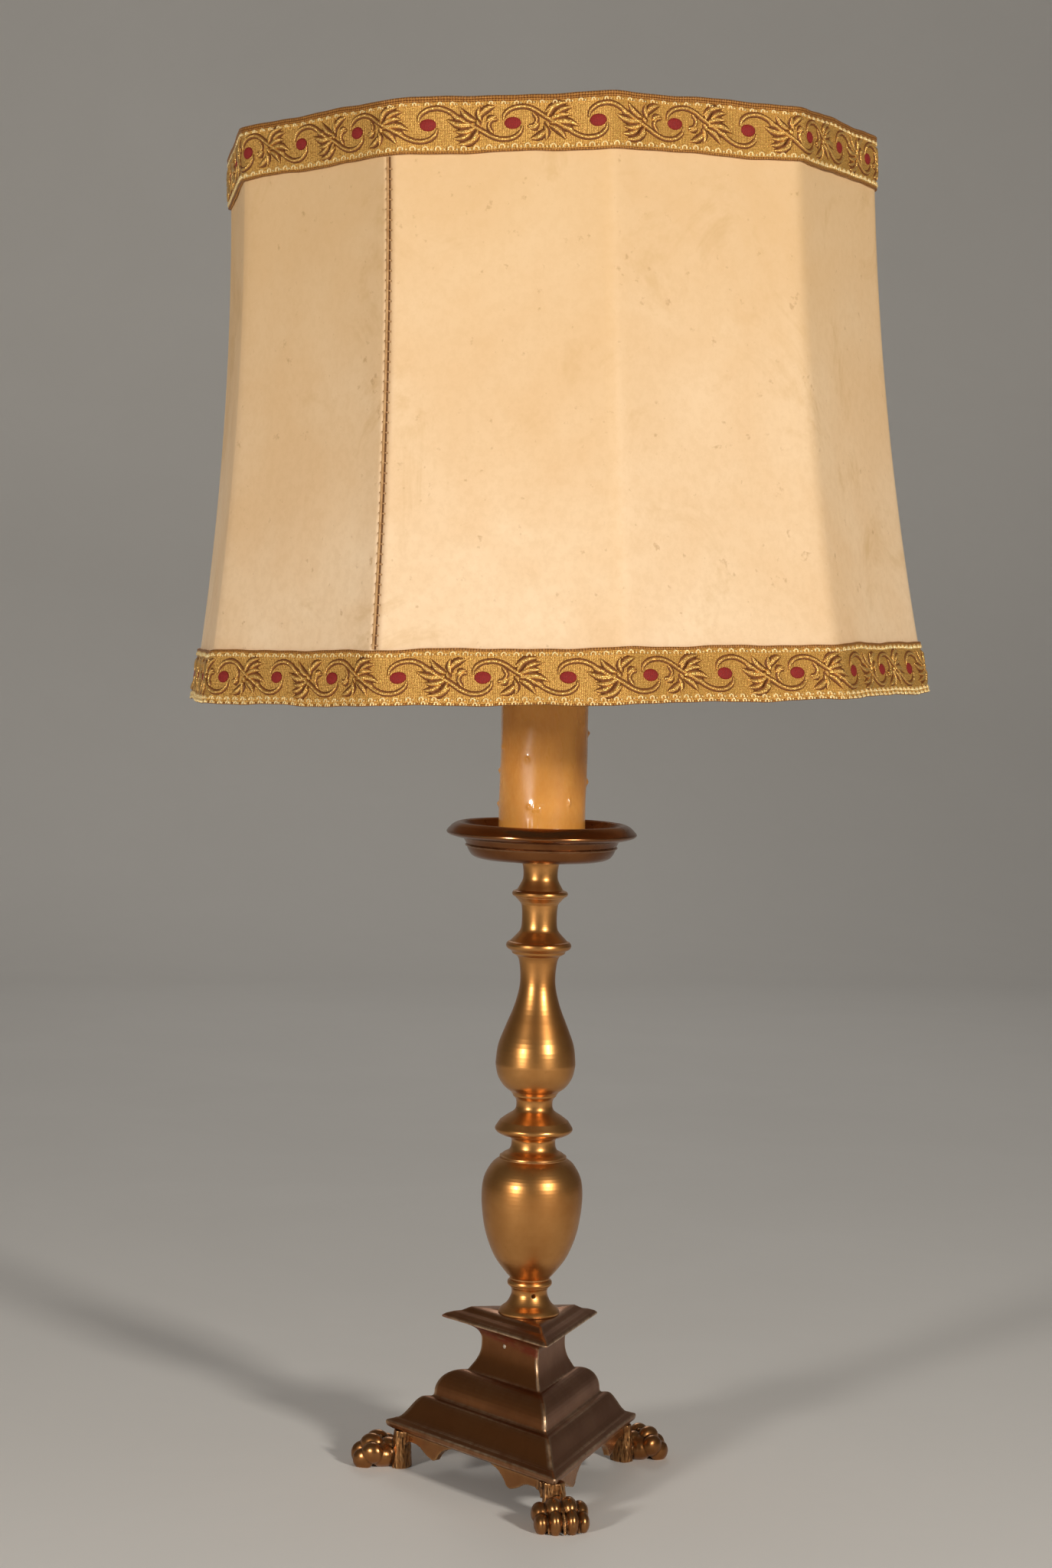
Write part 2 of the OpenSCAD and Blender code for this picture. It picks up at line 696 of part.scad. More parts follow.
// Spring tongue that presses on the bulb's tip
module centre_contact() {
    color(brass)
        translate([0, 0, liner_z]) {
            translate([-9, -3, 0])
                cube([10, 6, 0.6]);
            translate([-9, -3, 0.6])
                cube([0.8, 6, contact_h - 1.2]);
            translate([-9, -3, contact_h - 0.6])
                cube([12.5, 6, 0.6]);
        }
}

// Strip that feeds the threaded liner
module side_contact() {
    color(brass)
        translate([0, 0, liner_z]) {
            translate([5, -3, 0])
                cube([7, 6, 0.6]);
            translate([liner_r - 1.2, -3, 0.6])
                cube([0.7, 6, 3]);
        }
}

// Two screws in the insulator's pockets that grip the cord's wires
module terminal_screws() {
    color(brass)
        for (s = [-1, 1])
            translate([s * terminal_x, 0, insulator_z]) {
                translate([0, 0, 0.4])
                    cylinder(r = 1.4, h = 5.6, $fn = 32);
                difference() {
                    translate([0, 0, -1.4])
                        cylinder(r = 2.8, h = 1.8, $fn = 32);
                    translate([-4, -0.35, -2])
                        cube([8, 0.7, 1.3]);
                }
            }
}

// Threaded liner that the bulb's cap screws into
module holder_liner() {
    color(brass)
        translate([0, 0, liner_z])
            difference() {
                cylinder(r = liner_r + liner_wall, h = liner_h, $fn = 96);
                translate([0, 0, -1])
                    cylinder(r = liner_r, h = liner_h + 2, $fn = 96);
            }
}

// Outer shell with the thread for the shade rings
module holder_shell() {
    color(brass)
        difference() {
            translate([0, 0, shell_z])
                cylinder(r = shell_r, h = shell_top_z - shell_z, $fn = 96);
            translate([0, 0, shell_z - 1])
                cylinder(r = shell_r - shell_wall,
                    h = shell_top_z - shell_lip - shell_z + 1, $fn = 96);
            translate([0, 0, shell_z])
                cylinder(r = liner_r + 0.3, h = shell_top_z, $fn = 96);
        }
}

module shade_ring(z) {
    color(brass)
        translate([0, 0, z])
            difference() {
                cylinder(r = ring_r, h = ring_h, $fn = 96);
                translate([0, 0, -1])
                    cylinder(r = ring_bore_r, h = ring_h + 2, $fn = 96);
            }
}

// Screw cap of the bulb, a thin shell open at both ends
module bulb_cap() {
    color(steel)
        translate([0, 0, bulb_cap_z])
            difference() {
                cylinder(r = bulb_cap_r, h = bulb_cap_h, $fn = 96);
                translate([0, 0, 1])
                    cylinder(r = bulb_cap_r - bulb_cap_wall, h = bulb_cap_h, $fn = 96);
                translate([0, 0, -1])
                    cylinder(r = 10, h = 4, $fn = 96);
            }
}

module bulb_insulator() {
    color([0.06, 0.05, 0.06])
        translate([0, 0, bulb_z + bulb_tip_h])
            cylinder(r1 = 5, r2 = 9.9, h = bulb_cone_h, $fn = 96);
}

module bulb_tip() {
    color(steel)
        translate([0, 0, bulb_z])
            cylinder(r1 = 3.6, r2 = 4.8, h = bulb_tip_h, $fn = 64);
}

// Candle-shaped glass, with its neck seated inside the cap
module bulb_glass() {
    outside = concat([[glass_neck_r, -6], [glass_neck_r, 0]],
        smooth([[glass_neck_r + 0.5, 2], [0.84 * bulb_r, 0.1 * bulb_l],
            [0.975 * bulb_r, 0.26 * bulb_l], [bulb_r, 0.38 * bulb_l],
            [0.94 * bulb_r, 0.54 * bulb_l], [0.77 * bulb_r, 0.72 * bulb_l],
            [0.5 * bulb_r, 0.88 * bulb_l], [0.2 * bulb_r, 0.975 * bulb_l],
            [0.04 * bulb_r, bulb_l]], 3));
    inside = [for (i = [len(outside) - 1 : -1 : 0])
        let (p = outside[i])
        [max(p[0] - glass_t, 0.02 * bulb_r),
            p[1] > 0.8 * bulb_l ? p[1] - 2 * glass_t : p[1]]];
    color([0.95, 0.95, 0.92, 0.4])
        translate([0, 0, glass_z])
            difference() {
                rotate_extrude($fn = 96)
                    polygon(concat([[0, -6]], outside, [[0, bulb_l]]));
                rotate_extrude($fn = 96)
                    polygon(concat([[0, bulb_l - 2 * glass_t]], inside,
                        [[glass_neck_r - glass_t, -7], [0, -7]]));
            }
}

// Glass mount that carries the lead wires
module bulb_mount() {
    color([0.9, 0.92, 0.92, 0.5])
        translate([0, 0, mount_z])
            rotate_extrude($fn = 64)
                polygon([[0, 0], [glass_neck_r - glass_t - 0.3, 0],
                    [glass_neck_r - glass_t - 0.3, 1], [4, 4], [3.2, 12],
                    [2.6, mount_h], [0, mount_h]]);
}

// Two lead wires that stand on the mount and hold the filament
module bulb_leads() {
    color(steel)
        for (s = [-1, 1])
            bar([s * 1.6, 0, lead_z], [s * lead_x, 0, lead_z + lead_h], 0.4);
}

module bulb_filament() {
    color([0.35, 0.33, 0.32])
        translate([0, 0, lead_z + lead_h + 0.5])
            rotate([90, 0, 0])
                rotate_extrude(angle = 180, $fn = 96)
                    translate([lead_x, 0])
                        circle(r = 0.4, $fn = 24);
}

// Places its children, drawn on an upright shade, on the slightly leaning one
module leaning() {
    translate([0, 0, fitter_mid_z])
        rotate([0, 0, lean_azimuth])
            rotate([0, -shade_tilt, 0])
                rotate([0, 0, -lean_azimuth])
                    translate([0, 0, -fitter_mid_z])
                        children();
}

// The same move for one point
function turn_z(p, a) =
    [p[0] * cos(a) - p[1] * sin(a), p[0] * sin(a) + p[1] * cos(a), p[2]];
function turn_y(p, a) =
    [p[0] * cos(a) + p[2] * sin(a), p[1], p[2] * cos(a) - p[0] * sin(a)];
function lean_point(p) =
    let (mid = [0, 0, fitter_mid_z])
    mid + turn_z(turn_y(turn_z(p - mid, -lean_azimuth), -shade_tilt), lean_azimuth);

// Ten-sided bell between two heights, grown outwards by off; its sides are
// parts of cylinders that lie across, so each panel curves in one direction only
module bell(off, low, high) {
    intersection_for (k = [0 : sides - 1])
        rotate([0, 0, first_corner + half_side * (2 * k + 1)])
            rotate([90, 0, 0])
                linear_extrude(height = 2 * shade_reach, center = true)
                    difference() {
                        translate([-shade_reach, low])
                            square([2 * shade_reach, high - low]);
                        translate([top_apothem + off + panel_arc_r, shade_top_z])
                            circle(r = panel_arc_r, $fn = big_fn * 2);
                        translate([top_apothem + off + shade_flare * 2, low - 1])
                            square([shade_reach, high - low + 2]);
                    }
}

// Half of the parchment, from one laced seam round to the other
module skin_half(turned_to) {
    color(parchment)
        leaning()
            intersection() {
                difference() {
                    bell(0, shade_z + 0.3, shade_top_z - 0.3);
                    bell(-skin_t, shade_z - 1, shade_top_z + 1);
                }
                rotate([0, 0, seam_corner + turned_to])
                    translate([-shade_reach, seat_gap, shade_z - 2])
                        cube([2 * shade_reach, shade_reach, shade_h + 4]);
            }
}

// Woven braid round one edge of the shade
module braid(low) {
    color(gold_braid)
        leaning()
            difference() {
                bell(seat_gap + braid_t, low, low + braid_w);
                bell(seat_gap, low - 1, low + braid_w + 1);
            }
}

// Piece of round bar that follows a rib's curve at a corner, drawn upright
module rib_curve(corner, inset, r, low, high) {
    from = asin((shade_top_z - high) / rib_arc_r);
    to = asin((shade_top_z - low) / rib_arc_r);
    rotate([0, 0, corner])
        translate([shade_top_r - inset + rib_arc_r, 0, shade_top_z])
            rotate([90, 0, 0])
                rotate([0, 0, 180 + from])
                    rotate_extrude(angle = to - from, $fn = big_fn)
                        translate([rib_arc_r, 0])
                            circle(r = r, $fn = 24);
}

// One rib of the frame, from the bottom wire to the top wire
module rib(k) {
    color(steel)
        leaning()
            rib_curve(first_corner + 2 * half_side * k, wire_inset, wire_r,
                shade_z + edge_inset + wire_r + 0.05,
                shade_top_z - edge_inset - wire_r - 0.05);
}

// Ten-sided wire just inside an edge of the skin
module edge_wire(z) {
    color(steel)
        leaning()
            rotate([0, 0, first_corner])
                translate([0, 0, z])
                    rotate_extrude($fn = sides)
                        translate([skin_r(z) - wire_inset, 0])
                            circle(r = wire_r, $fn = 16);
}

// Flat ring that the two shade rings clamp
module fitter_ring() {
    color(steel)
        translate([0, 0, fitter_z])
            difference() {
                cylinder(r = fitter_r, h = fitter_t, $fn = 96);
                translate([0, 0, -1])
                    cylinder(r = fitter_bore_r, h = fitter_t + 2, $fn = 96);
            }
}

// Arm from the fitter ring out to the rib at corner k
module fitter_arm(k) {
    azimuth = first_corner + 2 * half_side * k;
    start = turn_z([fitter_r + 0.05, 0, fitter_mid_z], azimuth);
    rib_point = lean_point(turn_z([skin_r(fitter_mid_z) - wire_inset, 0, fitter_mid_z],
        azimuth));
    way = rib_point - start;
    finish = start + way * (1 - (wire_r + seat_gap) / norm(way));
    color(steel)
        bar(start, finish, wire_r);
}

// Lacing cord along one seam of the parchment
module lacing(turned_to) {
    color([0.45, 0.28, 0.12])
        leaning()
            rib_curve(seam_corner + turned_to, -lace_r - seat_gap, lace_r,
                shade_z + braid_w + 0.5, shade_top_z - braid_w - 0.5);
}

plinth();
foot(-90, front_turn);  // foot_front
foot(30);  // foot_right
foot(150);  // foot_left
foot_screws();
stem_collar();
urn_section();
disc_section();
pear_section();
spool_section();
drip_pan();
centre_tube();
base_nut();
base_washer();
inlet_bush();
pan_nut();
sleeve_cup();
candle_sleeve();
holder_cap();
holder_insulator();
centre_contact();
side_contact();
terminal_screws();
holder_liner();
holder_shell();
shade_ring(lower_ring_z);  // lower_shade_ring
shade_ring(upper_ring_z);  // upper_shade_ring
bulb_cap();
bulb_insulator();
bulb_tip();
bulb_glass();
bulb_mount();
bulb_leads();
bulb_filament();
fitter_ring();
fitter_arm(0);  // fitter_arm_1
fitter_arm(3);  // fitter_arm_2
fitter_arm(7);  // fitter_arm_3
rib(0);  // rib_1
rib(1);  // rib_2
rib(2);  // rib_3
rib(3);  // rib_4
rib(4);  // rib_5
rib(5);  // rib_6
rib(6);  // rib_7
rib(7);  // rib_8
rib(8);  // rib_9
rib(9);  // rib_10
edge_wire(shade_top_z - edge_inset);  // top_wire
edge_wire(shade_z + edge_inset);  // bottom_wire
skin_half(0);  // skin_front
skin_half(180);  // skin_back
lacing(0);  // lacing_front
lacing(180);  // lacing_back
braid(shade_top_z - braid_w);  // top_braid
braid(shade_z);  // bottom_braid
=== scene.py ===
from math import cos, pi, radians, sin, tau

import bmesh
import bpy
import numpy as np
from mathutils import Matrix, Vector


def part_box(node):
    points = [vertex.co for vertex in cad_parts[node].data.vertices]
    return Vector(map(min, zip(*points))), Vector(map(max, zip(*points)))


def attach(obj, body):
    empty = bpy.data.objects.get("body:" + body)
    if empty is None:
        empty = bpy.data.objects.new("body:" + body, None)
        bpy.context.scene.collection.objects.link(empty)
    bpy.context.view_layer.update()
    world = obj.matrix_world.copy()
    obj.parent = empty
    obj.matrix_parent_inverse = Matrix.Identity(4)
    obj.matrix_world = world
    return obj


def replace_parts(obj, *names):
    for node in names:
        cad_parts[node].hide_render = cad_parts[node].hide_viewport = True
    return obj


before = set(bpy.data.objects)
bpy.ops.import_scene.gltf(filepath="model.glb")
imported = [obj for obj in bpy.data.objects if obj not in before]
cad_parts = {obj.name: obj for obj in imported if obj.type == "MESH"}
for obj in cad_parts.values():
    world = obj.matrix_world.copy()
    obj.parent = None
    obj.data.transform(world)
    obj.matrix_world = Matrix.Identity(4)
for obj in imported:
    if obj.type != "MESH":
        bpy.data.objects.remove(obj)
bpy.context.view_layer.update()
MM = 0.001

# Sizes of the shade, in metres; its seams are numbered by corner, and corner 0 points to the front
SIDES = 10
FIRST_CORNER = radians(-91.4)
SHADE_TOP_R = 163.8 * MM
SHADE_FLARE = 24.7 * MM
SHADE_H = 274.4 * MM
SHADE_DROP = 104.4 * MM
SHADE_TILT = radians(2.2)
LEAN_AZIMUTH = radians(-10.8)
BRAID_W = 25 * MM
BRAID_T = 1.2 * MM
SKIN_T = 0.8 * MM
SKIN_ROUNDING = 2.5 * MM
BRAID_ROUNDING = 6 * MM
FRONT_SEAM = -1
BACK_SEAM = 4

low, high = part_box("fitter_ring")
FITTER_Z = (low[2] + high[2]) / 2
SHADE_Z = FITTER_Z - SHADE_DROP
SHADE_TOP_Z = SHADE_Z + SHADE_H
ARC_R = (SHADE_H ** 2 + SHADE_FLARE ** 2) / (2 * SHADE_FLARE)
HALF_SIDE = pi / SIDES

# Camera: where the photograph was taken from
EYE = Vector((-0.2932, -1.4832, 0.4423))
CAMERA_TURN = radians(11.183)
CAMERA_YAW = radians(-0.329)
CAMERA_PITCH = radians(3.117)
CAMERA_ROLL = radians(1.529)
LENS = 68.28


# Node trees

FLOAT, RGB, VECTOR = "NodeSocketFloat", "NodeSocketColor", "NodeSocketVector"
GRIME = (0.03, 0.02, 0.01)


class Graph:
    """Adds nodes to a tree; an input given as a socket is linked, and any other is set.

    Colours are given as red, green and blue, and become opaque."""

    def __init__(self, tree):
        self.tree = tree

    def add(self, kind, inputs=None, **settings):
        node = self.tree.nodes.new(kind)
        for key, value in settings.items():
            setattr(node, key, value)
        for key, value in (inputs or {}).items():
            if isinstance(value, bpy.types.NodeSocket):
                self.tree.links.new(value, node.inputs[key])
            else:
                socket = node.inputs[key]
                socket.default_value = (*value, 1.0) if socket.type == "RGBA" else value
        return node

    def attribute(self, label):
        return self.add("ShaderNodeAttribute", attribute_name=label).outputs["Fac"]

    def math(self, operation, a, b=0.0):
        return self.add("ShaderNodeMath", {0: a, 1: b}, operation=operation).outputs[0]

    def times(self, a, b):
        return self.math("MULTIPLY", a, b)

    def plus(self, a, b):
        return self.math("ADD", a, b)

    def noise(self, vector, scale, detail=3.0, rough=0.5, distortion=0.0):
        values = {"Vector": vector, "Scale": scale, "Detail": detail, "Roughness": rough}
        values["Distortion"] = distortion
        return self.add("ShaderNodeTexNoise", values).outputs["Fac"]

    def fit(self, value, low, high, to_low=0.0, to_high=1.0):
        values = {0: value, 1: low, 2: high, 3: to_low, 4: to_high}
        return self.add("ShaderNodeMapRange", values).outputs[0]

    def mix(self, share, a, b):
        return self.add("ShaderNodeMix", {0: share, 6: a, 7: b}, data_type="RGBA").outputs[2]

    def scaled(self, vector, factors):
        return self.add("ShaderNodeMapping", {"Vector": vector, "Scale": factors}).outputs[0]

    def relief(self, height, strength, distance):
        values = {"Height": height, "Strength": strength, "Distance": distance}
        return self.add("ShaderNodeBump", values).outputs[0]


def shader_group(name, inputs, outputs, build):
    """A shader node group with named sockets; build(graph, inputs) returns what its outputs carry."""
    tree = bpy.data.node_groups.new(name, "ShaderNodeTree")
    for way, sockets in (("INPUT", inputs), ("OUTPUT", outputs)):
        for kind, labels in sockets.items():
            for label in labels.split():
                tree.interface.new_socket(label, in_out=way, socket_type=kind)
    graph = Graph(tree)
    source = graph.add("NodeGroupInput").outputs
    sink = graph.add("NodeGroupOutput")
    for label, socket in build(graph, source).items():
        tree.links.new(socket, sink.inputs[label])
    return tree


def new_material(name, build, **fixed):
    """A Principled material: fixed sets plain sockets, build returns the linked ones."""
    made = bpy.data.materials.new(name)
    made.use_nodes = True
    made.node_tree.nodes.clear()
    graph = Graph(made.node_tree)
    shader = graph.add("ShaderNodeBsdfPrincipled")
    output = graph.add("ShaderNodeOutputMaterial")
    made.node_tree.links.new(shader.outputs[0], output.inputs[0])
    for label, value in fixed.items():
        shader.inputs[label.replace("_", " ")].default_value = value
    coords = graph.add("ShaderNodeTexCoord").outputs
    for label, socket in build(graph, coords).items():
        made.node_tree.links.new(socket, shader.inputs[label])
    return made


# Patina and mottle, which several finishes share

def build_patina(graph, source):
    """Brown patina over bronze: mottled, dark in pits, and bright along arrises, which is partly rubbed metal
    and partly painted highlight.
    """
    at = source["Vector"]
    broad = graph.noise(at, 28.0, 4.0, 0.6)
    fine = graph.noise(at, 240.0, 3.0, 0.6)
    specks = graph.fit(graph.noise(at, 620.0, 2.0), 0.66, 0.74)
    # Bright along arrises: partly rubbed metal, partly painted highlight.
    rub_and_highlight = graph.times(source["Edge"], graph.fit(fine, 0.30, 0.62, 0.25, 1.0))
    rub_and_highlight = graph.times(rub_and_highlight, source["Wear"])
    base = graph.mix(graph.fit(broad, 0.35, 0.68), source["Dark"], source["Base"])
    base = graph.mix(graph.times(specks, 0.4), base, source["Dark"])
    base = graph.mix(rub_and_highlight, base, source["Bright"])
    base = graph.mix(source["Pit"], base, source["Dirt"])
    rough = graph.fit(broad, 0.3, 0.7, 0.07, -0.05)
    rough = graph.plus(source["Roughness"], rough)
    rough = graph.plus(rough, graph.times(source["Pit"], 0.3))
    height = graph.plus(graph.times(fine, 0.3), graph.times(specks, -0.4))
    return {"Color": base, "Roughness": rough, "Height": height}


patina = shader_group("patina", {VECTOR: "Vector", RGB: "Base Dark Bright Dirt",
                                 FLOAT: "Wear Edge Pit Roughness"},
                      {RGB: "Color", FLOAT: "Roughness Height"}, build_patina)


def build_mottle(graph, source):
    """Soft cloudy mix of two colours, with fine fibres."""
    cloud = graph.noise(source["Vector"], source["Scale"], 4.0, 0.62, 0.4)
    fibre = graph.noise(source["Vector"], graph.times(source["Scale"], 22.0), 3.0, 0.7)
    share = graph.fit(cloud, 0.34, 0.66)
    tone = graph.mix(share, source["First"], source["Second"])
    tone = graph.mix(graph.fit(fibre, 0.42, 0.62, 0.0, 0.18), tone, source["Fibre"])
    return {"Color": tone, "Share": share, "Fibre": fibre}


mottle = shader_group("mottle", {VECTOR: "Vector", FLOAT: "Scale", RGB: "First Second Fibre"},
                      {RGB: "Color", FLOAT: "Share Fibre"}, build_mottle)


def mottled(graph, at, scale, first, second, fibre):
    """Outputs of the cloudy mix of two colours."""
    values = {"Vector": at, "Scale": scale, "First": first, "Second": second, "Fibre": fibre}
    return graph.add("ShaderNodeGroup", values, node_tree=mottle).outputs


def bronze_finish(name, base, dark, bright, wear, rough, marked=False, bump=0.05, dirt=GRIME):
    """Bronze; marked pieces carry their own shares of bright arrises (wear and painted highlight) and of
    pits, and others find their arrises.
    """
    def build(graph, coords):
        if marked:
            edge, pit = graph.attribute("wear"), graph.attribute("pit")
        else:
            bevel = graph.add("ShaderNodeBevel", {"Radius": 0.6 * MM}, samples=6).outputs[0]
            normal = graph.add("ShaderNodeNewGeometry").outputs["Normal"]
            facing = graph.add("ShaderNodeVectorMath", {0: bevel, 1: normal}, operation="DOT_PRODUCT")
            edge = graph.fit(graph.math("SUBTRACT", 1.0, facing.outputs["Value"]), 0.01, 0.12)
            pit = 0.0
        values = {"Vector": coords["Object"], "Base": base, "Dark": dark, "Bright": bright, "Dirt": dirt,
                  "Wear": wear, "Edge": edge, "Pit": pit, "Roughness": rough}
        made = graph.add("ShaderNodeGroup", values, node_tree=patina).outputs
        return {"Base Color": made["Color"], "Roughness": made["Roughness"],
                "Normal": graph.relief(made["Height"], bump, 0.2 * MM)}
    return new_material(name, build, Metallic=0.98, Coat_Weight=0.12, Coat_Roughness=0.14)


def plain_finish(name, first, second, rough, scale=60.0, bump=0.1, **fixed):
    """A finish with a little variation of colour, gloss and relief."""
    def build(graph, coords):
        made = mottled(graph, coords["Object"], scale, first, second, second)
        return {"Base Color": made["Color"], "Normal": graph.relief(made["Fibre"], bump, 0.2 * MM),
                "Roughness": graph.fit(made["Share"], 0.0, 1.0, rough * 0.85, rough * 1.15)}
    return new_material(name, build, **fixed)


plinth_bronze = bronze_finish("plinth_bronze", (0.29, 0.108, 0.030), (0.20, 0.068, 0.016),
                              (0.85, 0.62, 0.40), 1.0, 0.36, True, 0.05, (0.24, 0.040, 0.014))
stem_bronze = bronze_finish("stem_bronze", (0.64, 0.315, 0.100), (0.47, 0.200, 0.052),
                            (0.86, 0.58, 0.30), 0.6, 0.33)
pan_bronze = bronze_finish("pan_bronze", (0.30, 0.122, 0.040), (0.18, 0.062, 0.018),
                           (0.75, 0.48, 0.26), 1.0, 0.24)
paw_bronze = bronze_finish("paw_bronze", (0.44, 0.200, 0.068), (0.25, 0.100, 0.030),
                           (0.72, 0.43, 0.19), 0.6, 0.29, True, 0.1, (0.035, 0.016, 0.006))
plug_metal = bronze_finish("plug_metal", (0.75, 0.66, 0.54), (0.60, 0.50, 0.38),
                           (0.8, 0.72, 0.6), 0.3, 0.5)
brass = plain_finish("brass", (0.72, 0.53, 0.22), (0.60, 0.42, 0.17), 0.32, Metallic=1.0)
steel = plain_finish("steel", (0.56, 0.56, 0.58), (0.44, 0.43, 0.42), 0.38, Metallic=1.0)
wire_metal = plain_finish("wire_metal", (0.30, 0.26, 0.19), (0.22, 0.17, 0.11), 0.5, Metallic=0.6)
black_plastic = plain_finish("black_plastic", (0.03, 0.03, 0.03), (0.05, 0.045, 0.04), 0.5)
porcelain = plain_finish("porcelain", (0.85, 0.84, 0.79), (0.78, 0.75, 0.68), 0.22, Coat_Weight=0.5)
cord_thread = plain_finish("cord_thread", (0.60, 0.36, 0.16), (0.40, 0.21, 0.08), 0.8, 260.0, 0.6)
clear_glass = plain_finish("clear_glass", (0.98, 0.98, 0.98), (0.95, 0.96, 0.96), 0.04, 30.0,
                           0.0, Transmission_Weight=1.0, IOR=1.45)


AGED_FROM, AGED_TO = 0.45, 0.70


def build_parchment(graph, coords):
    """Cream skin with clouds, fibres, stains and flecks, and a browner tone towards the top edge."""
    at = coords["Object"]
    made = mottled(graph, at, 11.0, (0.93, 0.70, 0.46), (0.84, 0.58, 0.34), (0.66, 0.42, 0.20))
    level = graph.add("ShaderNodeSeparateXYZ", {0: at}).outputs[2]
    drift = graph.times(graph.fit(graph.noise(at, 7.0, 3.0), 0.3, 0.7, -1.0, 1.0), 50 * MM)
    aged = graph.fit(graph.plus(level, drift), AGED_FROM, AGED_TO)
    tone = graph.mix(graph.times(aged, 0.85), made["Color"], (0.72, 0.46, 0.21))
    stain = graph.fit(graph.noise(at, 16.0, 5.0, 0.7, 0.8), 0.56, 0.72)
    tone = graph.mix(graph.times(stain, 0.55), tone, (0.62, 0.38, 0.15))
    flecks = graph.fit(graph.noise(at, 170.0, 3.0, 0.6), 0.66, 0.74)
    tone = graph.mix(graph.times(flecks, 0.45), tone, (0.45, 0.24, 0.09))
    return {"Base Color": tone, "Normal": graph.relief(made["Fibre"], 0.2, 0.3 * MM),
            "Roughness": graph.fit(made["Share"], 0.0, 1.0, 0.46, 0.58)}


parchment = new_material("parchment", build_parchment, Specular_IOR_Level=0.3)


def build_wax(graph, coords):
    """Honey-coloured wax with long upright clouds."""
    at = graph.scaled(coords["Object"], (1.0, 1.0, 0.35))
    made = mottled(graph, at, 45.0, (0.86, 0.40, 0.085), (0.70, 0.28, 0.045), (0.88, 0.48, 0.15))
    return {"Base Color": made["Color"], "Normal": graph.relief(made["Share"], 0.2, 0.4 * MM),
            "Roughness": graph.fit(made["Share"], 0.0, 1.0, 0.22, 0.34)}


wax = new_material("wax", build_wax, Coat_Weight=0.7, Coat_Roughness=0.10, Subsurface_Weight=0.06,
                   Subsurface_Radius=(0.006, 0.0025, 0.001))


def thread_finish(name, light, dark, rough, pitch, metallic=0.35, relief_depth=0.25 * MM, wander_by=0.6 * MM):
    """Woven metal thread: fine ribs across the braid, read from the piece's own map in metres; its colour is
    light on the rib crests and dark in the grooves (painted shade), with flecks of painted glint.
    """
    def build(graph, coords):
        at = coords["UV"]
        apart = graph.add("ShaderNodeSeparateXYZ", {0: at}).outputs
        wander = graph.noise(at, 160.0, 2.0)
        along = graph.plus(apart[0], graph.times(wander, wander_by))
        ribs = graph.math("SINE", graph.times(along, tau / pitch))
        rows = graph.math("SINE", graph.times(apart[1], tau / (0.8 * pitch)))
        weave_and_shade = graph.plus(graph.times(ribs, 0.30), graph.times(rows, 0.20))
        weave_and_shade = graph.plus(weave_and_shade, 0.5)
        painted_glint = graph.noise(at, 900.0, 2.0, 0.7)
        share = graph.times(weave_and_shade, graph.fit(painted_glint, 0.36, 0.64, 0.45, 1.4))
        tone = graph.mix(graph.fit(share, 0.15, 0.75), dark, light)
        return {"Base Color": tone, "Normal": graph.relief(share, 0.7, relief_depth)}
    return new_material(name, build, Metallic=metallic, Roughness=rough)


# Each thread's light and dark tones are its lit crests and shaded grooves, painted in as colour.
gold_weave = thread_finish("gold_weave", (0.92, 0.54, 0.13), (0.36, 0.145, 0.020),
                           0.36, 0.8 * MM, 0.4, 0.4 * MM, 0.5 * MM)
gold_thread = thread_finish("gold_thread", (1.0, 0.64, 0.20), (0.58, 0.27, 0.05), 0.27, 0.7 * MM, 0.6)
# Dark brown of the braid's outlines, which also stands in for the shade in its valleys (painted shade)
brown_thread_and_shade = thread_finish("brown_thread_and_shade", (0.26, 0.085, 0.012), (0.12, 0.036, 0.006),
                             0.6, 0.7 * MM, 0.1)
piping_thread = thread_finish("piping_thread", (0.52, 0.23, 0.045), (0.20, 0.070, 0.012),
                              0.45, 1.3 * MM, 0.3)
bead_thread = thread_finish("bead_thread", (1.0, 0.84, 0.46), (0.95, 0.62, 0.22), 0.34, 1.0 * MM, 0.3)
red_thread = thread_finish("red_thread", (0.34, 0.012, 0.008), (0.20, 0.006, 0.004), 0.7, 0.6 * MM, 0.0)


# Meshes

def to_lean():
    """The shade's lean to one side, about the middle of its fitter."""
    mid = Matrix.Translation((0, 0, FITTER_Z))
    turn = Matrix.Rotation(LEAN_AZIMUTH, 4, "Z")
    return mid @ turn @ Matrix.Rotation(-SHADE_TILT, 4, "Y") @ turn.inverted() @ mid.inverted()


LEAN = np.array(to_lean())


def corner_r(z):
    """Corner radius of the skin's outer face at height z of the upright shade."""
    depth = np.clip((SHADE_TOP_Z - z) / ARC_R, -1, 1)
    return SHADE_TOP_R + ARC_R * (1 - np.cos(np.arcsin(depth)))


def skin_point(around, z, out, rounding):
    """Points on the shade: around counts corners from the front one, out is the distance off the skin."""
    around, z, out = np.broadcast_arrays(np.asarray(around, float), z, out)
    reach = corner_r(z) + out / cos(HALF_SIDE)
    k = np.floor(around)
    share = around - k
    first = FIRST_CORNER + k * 2 * HALF_SIDE
    second = first + 2 * HALF_SIDE
    x = reach * (np.cos(first) * (1 - share) + np.cos(second) * share)
    y = reach * (np.sin(first) * (1 - share) + np.sin(second) * share)
    width = 2 * reach * sin(HALF_SIDE)
    apart = np.minimum(share, 1 - share) * width
    pull = np.clip(rounding - apart, 0, None) ** 2 / (4 * rounding) * sin(2 * HALF_SIDE)
    nearest = FIRST_CORNER + np.round(around) * 2 * HALF_SIDE
    x = x - pull * np.cos(nearest)
    y = y - pull * np.sin(nearest)
    upright = np.stack([x, y, z, np.ones_like(x)], axis=-1)
    return (upright @ LEAN.T)[..., :3]


